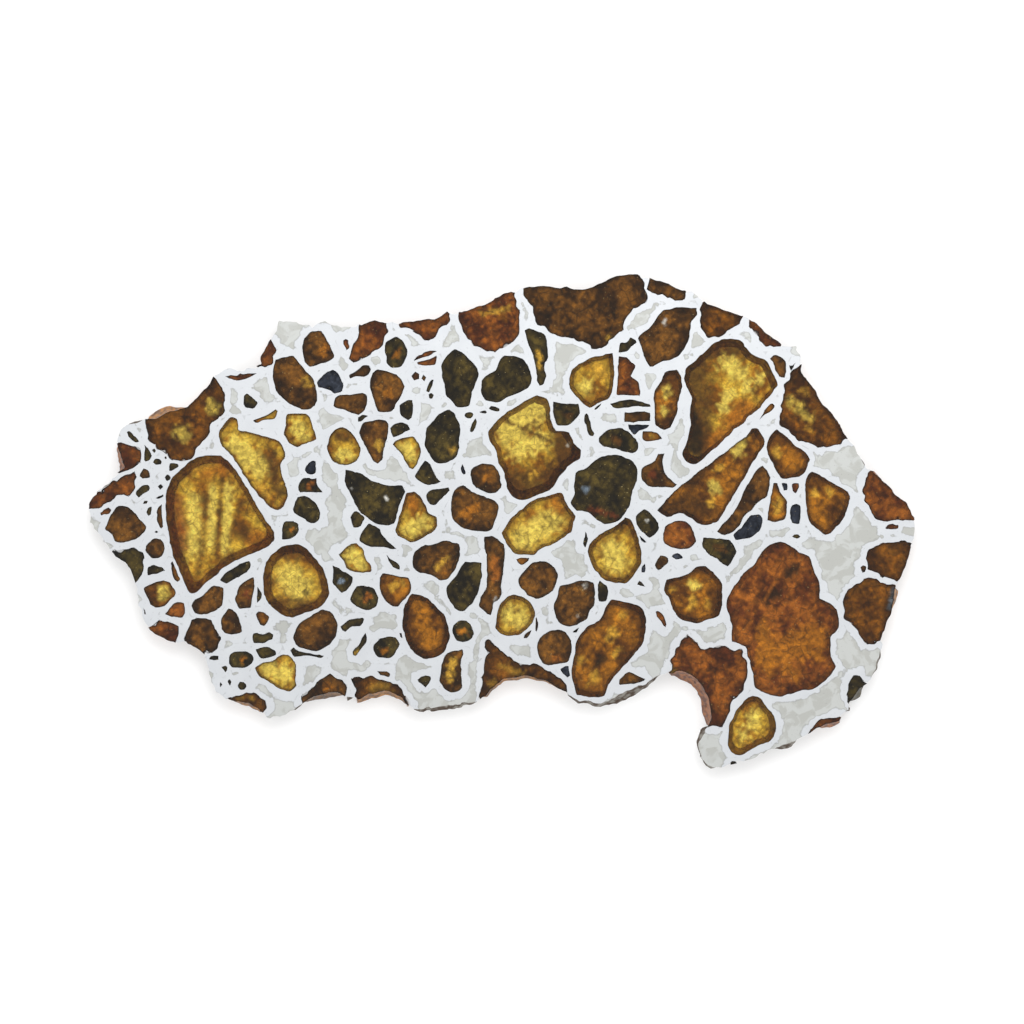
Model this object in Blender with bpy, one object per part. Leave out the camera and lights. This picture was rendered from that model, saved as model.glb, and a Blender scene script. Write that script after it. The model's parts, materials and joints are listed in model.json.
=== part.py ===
"""A polished slice of stony-iron meteorite, lying flat: an iron-nickel web that holds olivine crystals.

Every outline below is in slice millimetres: x runs along the slice, y across it, and the polished
face is at the top. The web is one lattice, cut through from face to face by one pocket for each
crystal. A crystal is a solid of its own in its pocket, with a fine open seam round it.

Run with: blender --background --python part.py
"""

import math

import bpy
import bmesh
from mathutils import Vector

# Driving dimensions, in millimetres.
MM = 0.001
THICKNESS = 3.2
SEAM = 0.25
METAL_WALL = 0.34
RIM_WALL = 0.75
CUTTER_REACH = 0.8
RELAX_ROUNDS = 60

# The broken rim leans: on average the underside is drawn in a little, and in these places it
# stands out instead, so that the flank shows from above. Each is x, y, reach and lean.
RIM_LEAN = -0.25
LEAN_PLACES = (
    (-55.5, 18.5, 4.0, 1.3),
    (-62.3, 9.5, 3.5, 1.1),
    (-41.0, -30.0, 4.0, 0.7),
    (-28.0, -28.5, 5.0, 0.8),
    (-20.0, -28.5, 5.0, 0.8),
    (-9.0, -30.0, 6.0, 0.8),
    (3.0, -25.5, 6.0, 0.6),
    (14.0, -29.2, 4.0, 0.6),
    (20.5, -28.0, 3.5, 1.4),
    (28.5, -25.0, 4.0, 1.3),
    (32.2, -30.5, 4.0, 1.1),
    (36.0, -39.6, 3.5, 0.8),
    (42.5, -37.6, 5.0, 1.1),
    (51.0, -33.5, 6.0, 0.9),
    (57.8, -27.6, 3.0, 1.0),
    (63.6, -11.0, 3.5, 0.9),
    (60.6, -22.0, 3.0, 0.6),
    (59.2, 9.2, 2.0, 0.7),
)

# The broken rim as seen from above, counter-clockwise from the crystal at the north-west.
RIM = (
    (-47.0, 22.0), (-48.5, 20.4), (-50.3, 18.7), (-54.0, 18.8), (-55.6, 18.0), (-58.5, 16.7),
    (-60.5, 15.3), (-61.6, 13.6), (-61.8, 12.0), (-61.5, 9.2), (-62.8, 7.7), (-63.2, 6.5),
    (-64.5, 5.2), (-66.1, 3.1), (-65.8, 1.2), (-65.3, -0.5), (-63.8, -2.6), (-62.6, -4.6),
    (-60.4, -6.0), (-59.4, -7.6), (-58.5, -9.7), (-58.2, -11.4), (-57.5, -14.2), (-56.9, -15.9),
    (-55.4, -17.7), (-53.3, -18.7), (-50.4, -19.1), (-48.3, -20.2), (-47.2, -21.6), (-46.7, -24.0),
    (-45.7, -26.7), (-44.3, -28.3), (-41.4, -29.3), (-38.9, -30.2), (-37.3, -31.3), (-35.6, -30.8),
    (-34.0, -30.1), (-32.4, -29.3), (-29.9, -28.4), (-26.9, -27.9), (-24.6, -28.5), (-22.4, -29.1),
    (-20.9, -28.2), (-18.7, -27.6), (-16.2, -28.4), (-14.9, -29.8), (-13.0, -30.2), (-8.4, -29.9),
    (-5.2, -29.2), (-2.4, -28.0), (-1.2, -26.6), (0.5, -25.5), (3.0, -25.0), (5.8, -25.2),
    (8.3, -26.0), (10.7, -27.7), (12.3, -28.8), (14.5, -29.3), (17.2, -29.3), (19.5, -28.5),
    (22.0, -27.2), (23.5, -26.3), (24.4, -25.4), (26.5, -25.0), (28.6, -25.0), (30.0, -25.6),
    (31.3, -27.0), (32.2, -28.8), (32.4, -30.8), (31.8, -33.2), (31.4, -35.2), (32.0, -38.0),
    (33.6, -39.4), (35.6, -39.9), (38.6, -39.1), (41.6, -38.2), (43.5, -37.3), (46.0, -36.2),
    (48.6, -34.9), (52.3, -32.9), (54.3, -31.9), (56.1, -29.7), (57.6, -27.8), (59.0, -25.8),
    (60.0, -23.8), (60.7, -21.9), (61.0, -20.4), (60.7, -18.8), (61.4, -16.6), (62.2, -14.8),
    (63.1, -13.2), (63.8, -10.8), (64.5, -8.0), (65.1, -5.4), (65.7, -3.0), (66.1, -0.8),
    (65.8, 1.0), (65.4, 2.2), (64.9, 3.3), (63.2, 4.4), (61.8, 6.2), (60.0, 8.4), (58.1, 9.8),
    (56.4, 12.3), (55.0, 14.1), (54.2, 15.8), (52.9, 17.5), (51.2, 19.3), (50.2, 21.3),
    (48.9, 23.0), (47.9, 24.5), (47.7, 27.5), (46.9, 28.3), (45.0, 28.5), (43.1, 29.9),
    (40.1, 32.4), (38.8, 33.1), (35.0, 34.4), (32.3, 35.4), (30.4, 37.2), (28.7, 37.3),
    (26.3, 38.5), (23.6, 38.9), (21.4, 39.9), (18.7, 39.7), (16.3, 38.6), (14.2, 37.7),
    (12.0, 37.5), (10.5, 37.9), (9.3, 37.6), (7.2, 38.0), (4.4, 37.9), (2.4, 37.2), (0.1, 36.6),
    (-2.0, 35.3), (-5.2, 34.3), (-7.2, 33.4), (-8.6, 33.8), (-10.4, 32.8), (-14.7, 32.4),
    (-17.0, 31.8), (-18.8, 32.1), (-20.3, 32.5), (-22.3, 31.7), (-25.1, 31.4), (-28.7, 32.3),
    (-29.7, 31.6), (-32.6, 32.1), (-35.3, 32.3), (-36.8, 29.8), (-38.4, 26.8), (-38.5, 25.4),
    (-41.5, 24.4), (-44.0, 24.7), (-46.2, 23.4),
)

# Colours by the look of the crystal, for the plain model.
LOOKS = {
    "clear": (0.80, 0.62, 0.12),
    "amber": (0.55, 0.27, 0.04),
    "brown": (0.16, 0.08, 0.03),
    "dark": (0.05, 0.045, 0.03),
    "rust": (0.25, 0.07, 0.03),
    "sulphide": (0.09, 0.10, 0.13),
    "metal": (0.70, 0.71, 0.72),
}

# Crystals wholly inside the web. Each has a look, an outline on the polished face, and the place
# (x, y) and share to which it narrows on the underside.
INNER = {
    "olivine_honey_west": ("clear", (-45.6, 2.4, 0.86), (
        (-48.6, 10.6), (-51.4, 8.6), (-53.2, 6.5), (-53.8, 2.5), (-52.9, -3.5), (-51.8, -7.0),
        (-50.1, -10.7), (-49.2, -11.2), (-45.0, -7.6), (-42.3, -5.8), (-38.5, -4.3),
        (-36.4, -2.8), (-36.3, -1.5), (-37.8, 0.5), (-39.5, 3.5), (-40.9, 6.1), (-42.3, 8.2),
        (-43.6, 9.9), (-44.7, 10.8))),
    "olivine_hook_west": ("clear", (-40.5, 10.0, 0.96), (
        (-43.2, 17.0), (-44.4, 16.0), (-45.2, 14.2), (-44.9, 12.7), (-43.2, 10.7), (-41.2, 7.8),
        (-39.8, 5.7), (-38.2, 3.8), (-36.6, 2.4), (-35.4, 2.3), (-34.4, 3.5), (-34.2, 5.0),
        (-35.1, 7.6), (-35.3, 9.3), (-34.6, 10.7), (-35.1, 12.6), (-36.0, 13.4), (-39.5, 14.4),
        (-42.0, 15.0), (-42.2, 16.6))),
    "olivine_brown_north_west": ("brown", (-33.0, 22.5, 0.80), (
        (-36.4, 25.8), (-36.7, 24.0), (-36.1, 21.6), (-35.3, 20.3), (-33.5, 18.9), (-31.3, 18.3),
        (-29.8, 18.9), (-29.5, 20.0), (-29.8, 22.0), (-30.2, 23.4), (-31.5, 24.6), (-32.7, 26.2),
        (-33.3, 26.9), (-34.4, 26.8))),
    "olivine_round_west": ("clear", (-33.2, -9.4, 0.78), (
        (-33.9, -3.4), (-35.4, -3.9), (-37.2, -5.5), (-38.1, -8.0), (-38.0, -11.0), (-37.3, -12.8),
        (-35.2, -14.5), (-33.6, -15.1), (-31.5, -14.4), (-28.8, -13.2), (-27.7, -11.6),
        (-27.7, -9.8), (-28.5, -7.4), (-30.3, -5.0), (-32.2, -3.4))),
    "olivine_black_centre": ("dark", (-20.2, 3.6, 0.82), (
        (-24.9, 8.6), (-25.1, 6.9), (-24.1, 4.5), (-23.1, 2.5), (-21.5, 0.9), (-19.9, 0.0),
        (-18.4, -0.3), (-17.4, 0.0), (-16.6, 1.8), (-16.1, 3.6), (-15.4, 5.2), (-15.8, 6.0),
        (-16.8, 6.1), (-18.4, 6.1), (-20.4, 6.7), (-21.9, 7.6), (-23.0, 8.1))),
    "olivine_speckled_south_west": ("brown", (-29.6, -16.9, 0.80), (
        (-28.9, -13.8), (-30.4, -14.8), (-31.8, -15.5), (-33.0, -17.0), (-33.2, -18.6),
        (-32.1, -19.8), (-30.4, -20.4), (-28.6, -20.1), (-27.2, -19.1), (-26.5, -18.0),
        (-26.4, -16.0), (-26.8, -14.7), (-27.8, -13.8))),
    "olivine_amber_south": ("amber", (-12.2, -16.0, 0.80), (
        (-14.2, -11.1), (-15.0, -12.2), (-15.7, -13.8), (-15.8, -16.0), (-15.4, -18.3),
        (-14.6, -20.1), (-13.2, -21.2), (-12.0, -21.7), (-10.4, -21.3), (-9.0, -20.2),
        (-8.4, -18.4), (-8.5, -16.8), (-8.8, -15.2), (-9.9, -13.9), (-11.3, -12.4),
        (-12.5, -11.7))),
    "olivine_banded_south": ("brown", (-9.8, -6.2, 0.78), (
        (-13.9, -4.6), (-14.2, -5.8), (-14.1, -7.0), (-13.0, -7.8), (-11.0, -8.4), (-9.8, -9.1),
        (-8.5, -8.8), (-7.5, -7.4), (-6.8, -5.6), (-6.6, -3.8), (-7.0, -3.0), (-9.2, -2.8),
        (-10.6, -3.2), (-12.6, -3.7))),
    "olivine_yellow_south": ("clear", (1.8, -15.4, 0.84), (
        (2.0, -11.3), (1.0, -11.7), (0.0, -12.7), (-0.6, -13.9), (-0.8, -15.4), (-1.0, -16.8),
        (0.0, -17.8), (1.7, -17.9), (3.0, -17.8), (4.1, -16.8), (5.0, -15.7), (5.4, -14.0),
        (4.8, -13.0), (3.6, -11.9))),
    "olivine_brown_south": ("brown", (11.4, -12.8, 0.80), (
        (9.4, -10.0), (8.9, -11.6), (8.4, -13.6), (8.7, -15.0), (9.6, -16.2), (11.0, -16.5),
        (12.4, -16.0), (13.7, -15.2), (14.2, -14.0), (14.9, -12.8), (15.0, -11.0), (14.7, -9.4),
        (13.6, -9.2), (11.0, -9.5))),
    "olivine_long_south": ("amber", (16.2, -20.6, 0.90), (
        (17.6, -12.2), (16.6, -13.6), (15.9, -15.2), (14.2, -16.3), (12.6, -17.7), (12.0, -19.2),
        (11.7, -21.0), (11.3, -23.4), (11.5, -25.6), (12.1, -27.3), (13.4, -28.4), (15.2, -28.5),
        (16.4, -27.6), (17.1, -25.8), (18.4, -24.1), (20.3, -21.9), (22.1, -20.0), (22.8, -18.8),
        (23.1, -16.2), (22.9, -14.2), (22.3, -13.3), (20.0, -12.7))),
    "olivine_olive_north": ("dark", (-6.7, 23.2, 0.82), (
        (-7.4, 27.9), (-8.9, 26.7), (-9.6, 25.0), (-9.3, 22.6), (-8.9, 20.7), (-8.1, 19.7),
        (-7.0, 18.6), (-5.6, 18.7), (-5.0, 19.2), (-4.7, 21.0), (-4.2, 22.4), (-3.7, 24.0),
        (-4.3, 25.3), (-5.7, 26.9))),
    "olivine_black_north": ("dark", (-9.4, 13.6, 0.82), (
        (-8.4, 18.2), (-9.6, 17.6), (-11.2, 16.2), (-12.0, 15.3), (-12.1, 14.0), (-12.3, 12.4),
        (-11.6, 11.0), (-10.6, 9.8), (-9.2, 9.5), (-7.5, 10.5), (-6.9, 11.8), (-6.8, 13.0),
        (-6.6, 15.0), (-7.1, 16.6), (-7.7, 17.8))),
    "olivine_gold_centre": ("clear", (-13.8, 0.8, 0.90), (
        (-15.1, 4.9), (-15.7, 3.4), (-16.2, 1.4), (-17.0, -0.7), (-16.6, -2.0), (-15.4, -2.5),
        (-14.6, -2.9), (-13.2, -2.6), (-11.2, -1.5), (-10.2, -0.3), (-10.4, 1.0), (-11.6, 1.7),
        (-12.3, 3.2), (-13.1, 4.5), (-14.0, 5.2))),
    "olivine_olive_centre": ("brown", (-4.5, 2.4, 0.84), (
        (-7.0, 5.8), (-7.9, 4.5), (-8.0, 2.6), (-7.6, 0.7), (-6.5, -0.5), (-4.6, -1.1),
        (-2.4, -1.3), (-1.4, -0.8), (-0.8, 1.0), (-0.5, 2.8), (-1.2, 3.7), (-2.8, 4.3),
        (-4.8, 5.2), (-5.8, 6.0))),
    "olivine_dark_north": ("dark", (0.9, 23.2, 0.80), (
        (0.6, 26.9), (-0.2, 26.2), (-0.8, 24.8), (-2.2, 23.8), (-3.1, 22.8), (-3.3, 21.0),
        (-2.6, 19.8), (-1.0, 19.4), (0.4, 19.8), (2.2, 20.8), (4.0, 21.5), (4.8, 22.6),
        (4.7, 24.0), (4.1, 25.4), (3.4, 26.4), (1.9, 26.8))),
    "olivine_honey_north": ("clear", (14.9, 23.2, 0.84), (
        (14.6, 26.6), (12.7, 25.6), (11.4, 24.7), (10.7, 22.4), (11.4, 21.0), (12.9, 19.4),
        (14.0, 18.6), (15.4, 19.2), (16.9, 19.9), (17.8, 21.2), (17.9, 23.6), (18.0, 26.0),
        (17.7, 27.3), (16.2, 27.0))),
    "olivine_brown_north": ("brown", (26.4, 30.2, 0.82), (
        (21.9, 29.7), (22.2, 28.6), (22.8, 26.9), (23.7, 25.1), (26.0, 25.9), (28.4, 26.9),
        (29.4, 28.2), (30.0, 30.0), (30.4, 32.4), (31.3, 33.4), (31.2, 34.5), (28.5, 34.5),
        (26.1, 34.3), (24.8, 32.7), (23.4, 31.1))),
    "olivine_large_north_east": ("clear", (36.2, 19.6, 0.88), (
        (37.0, 29.6), (34.8, 29.2), (33.0, 28.0), (31.0, 26.1), (29.5, 24.8), (29.4, 22.8),
        (30.3, 20.0), (30.2, 17.0), (30.0, 14.4), (29.4, 12.4), (28.9, 11.0), (29.6, 9.9),
        (31.0, 9.4), (32.4, 10.5), (34.6, 12.5), (37.0, 14.7), (39.5, 16.9), (41.8, 19.1),
        (43.4, 21.1), (44.3, 22.2), (43.7, 23.5), (43.0, 25.0), (42.3, 26.2), (41.4, 26.5),
        (40.3, 26.9), (39.2, 28.0), (38.2, 29.3))),
    "olivine_slim_north_east": ("amber", (26.4, 19.4, 0.88), (
        (26.1, 24.1), (25.4, 22.4), (24.5, 21.3), (24.4, 19.6), (24.4, 17.4), (24.8, 15.7),
        (26.0, 14.9), (27.0, 15.5), (27.8, 17.0), (28.4, 19.4), (28.8, 21.8), (28.7, 23.6),
        (28.0, 24.6))),
    "olivine_yellow_centre": ("clear", (6.2, -0.4, 0.90), (
        (0.2, -1.2), (0.4, -2.4), (1.3, -3.8), (2.2, -4.9), (3.6, -5.0), (5.2, -4.8),
        (7.4, -3.6), (9.6, -2.4), (11.2, -1.3), (11.5, 0.3), (11.9, 1.2), (11.0, 2.4),
        (10.3, 3.5), (9.7, 4.8), (8.8, 4.9), (7.0, 4.3), (5.0, 3.7), (3.2, 2.3), (1.2, 0.4))),
    "olivine_great_centre": ("clear", (3.8, 13.4, 0.84), (
        (-2.2, 14.5), (-1.8, 13.2), (-0.9, 11.6), (-0.6, 9.9), (0.4, 8.0), (0.8, 6.0), (1.8, 4.3),
        (3.4, 3.7), (5.8, 4.5), (8.0, 5.6), (9.2, 7.2), (10.8, 9.2), (12.6, 10.4), (12.7, 11.6),
        (11.6, 13.0), (10.8, 14.6), (8.7, 14.9), (7.9, 16.8), (7.8, 18.5), (7.2, 20.0),
        (5.7, 20.5), (4.6, 19.9), (2.2, 18.7), (0.0, 17.1), (-1.2, 16.0))),
    "olivine_dark_centre": ("dark", (16.6, 5.4, 0.84), (
        (12.0, 8.3), (11.6, 5.0), (11.1, 3.4), (12.1, 2.0), (13.8, 1.8), (15.2, 0.7),
        (16.6, -0.1), (18.2, 0.2), (19.8, 1.6), (20.5, 3.0), (21.1, 5.4), (21.7, 7.6),
        (21.6, 9.0), (20.8, 10.1), (18.4, 10.9), (16.5, 11.0), (15.0, 10.0), (13.6, 9.0))),
    "olivine_long_east": ("amber", (34.2, 7.6, 0.92), (
        (40.1, 15.2), (38.8, 13.7), (36.2, 11.8), (33.6, 9.8), (30.8, 7.7), (28.2, 5.6),
        (26.2, 3.7), (25.0, 2.0), (26.4, 1.0), (28.4, 1.6), (30.2, 1.0), (31.4, 0.1),
        (32.8, -0.2), (34.6, 0.3), (35.4, 1.7), (36.7, 3.7), (37.6, 5.4), (38.6, 6.9),
        (39.7, 9.0), (41.0, 10.9), (42.0, 12.6), (41.8, 14.0), (41.0, 15.2))),
    "olivine_bent_east": ("brown", (38.5, 1.5, 1.0), (
        (41.7, 9.2), (40.4, 8.0), (39.4, 6.2), (38.4, 4.3), (37.3, 1.9), (35.6, 0.2),
        (34.4, -1.4), (35.4, -1.8), (37.0, -1.4), (38.3, 0.0), (39.0, 1.3), (40.3, 2.5),
        (41.2, 3.5), (42.4, 4.2), (42.8, 5.8), (42.9, 7.2), (42.5, 8.4))),
    "olivine_round_east": ("clear", (18.4, -5.2, 0.84), (
        (16.2, -1.5), (14.6, -2.6), (13.9, -4.2), (14.2, -6.0), (15.1, -7.6), (16.2, -8.9),
        (18.4, -9.6), (20.0, -9.5), (21.2, -8.2), (22.2, -6.8), (22.4, -5.0), (22.0, -3.0),
        (21.3, -1.0), (20.7, 0.6), (19.8, 1.0), (18.2, -0.4))),
    "olivine_amber_east": ("amber", (30.6, -11.6, 0.86), (
        (26.4, -9.0), (26.0, -10.6), (26.8, -12.0), (27.6, -14.0), (29.0, -15.5), (31.2, -15.9),
        (32.8, -15.5), (34.6, -14.8), (35.3, -13.0), (35.3, -11.0), (34.9, -9.0), (34.0, -8.0),
        (32.6, -6.8), (31.2, -6.9), (30.0, -8.0), (28.2, -8.5))),
    "olivine_wedge_east": ("amber", (45.8, 10.8, 0.84), (
        (43.9, 15.0), (43.0, 14.0), (42.5, 12.9), (42.5, 11.4), (43.2, 10.1), (44.0, 8.4),
        (45.0, 7.2), (46.8, 7.2), (48.0, 7.7), (48.8, 8.9), (49.3, 10.3), (48.4, 11.6),
        (47.0, 12.5), (45.3, 14.0))),
    "olivine_speckled_east": ("amber", (52.0, 3.6, 0.86), (
        (48.7, 7.3), (48.7, 4.6), (48.8, 2.2), (49.3, 0.2), (50.6, -1.0), (51.8, -1.8),
        (53.0, -1.2), (54.4, 0.2), (55.1, 1.6), (55.8, 3.9), (55.4, 5.0), (53.2, 6.3),
        (51.3, 7.5), (49.8, 8.4))),
    "olivine_great_south_east": ("rust", (45.4, -16.2, 0.92), (
        (43.0, -3.4), (41.6, -4.5), (40.6, -6.2), (38.6, -8.3), (37.2, -10.0), (36.0, -12.6),
        (36.9, -16.4), (36.9, -18.7), (38.1, -19.3), (39.1, -20.2), (39.6, -21.9), (40.2, -24.2),
        (40.6, -26.2), (43.0, -27.5), (45.0, -27.6), (47.4, -26.9), (50.2, -26.3), (52.2, -24.7),
        (53.5, -22.9), (52.7, -21.2), (52.8, -18.2), (53.9, -16.8), (54.0, -15.2), (53.7, -13.8),
        (52.8, -12.9), (51.0, -12.0), (50.9, -9.8), (50.0, -7.4), (49.2, -5.2), (47.6, -4.7),
        (46.2, -3.5), (44.6, -3.0))),
    "olivine_hook_south_east": ("clear", (39.9, -32.2, 0.80), (
        (40.2, -27.6), (38.5, -28.7), (37.3, -30.4), (36.5, -32.6), (36.1, -34.8), (36.8, -36.5),
        (38.2, -37.0), (40.6, -35.8), (43.0, -34.8), (43.8, -33.2), (43.8, -31.1),
        (42.6, -29.4), (41.3, -27.9))),
    "troilite_west": ("sulphide", (-27.5, 22.6, 0.90), (
        (-29.4, 22.8), (-29.3, 21.9), (-27.5, 21.5), (-26.6, 20.9), (-25.5, 21.2), (-25.4, 22.4),
        (-26.2, 24.1), (-26.9, 24.6), (-28.2, 24.0))),
    "troilite_east": ("sulphide", (39.8, -0.6, 0.88), (
        (41.3, 1.4), (40.0, 1.4), (39.3, 0.6), (38.2, -0.8), (37.1, -1.8), (37.5, -2.6),
        (39.6, -2.2), (41.2, -1.4), (41.7, -0.2), (41.8, 0.8))),
}

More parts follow.
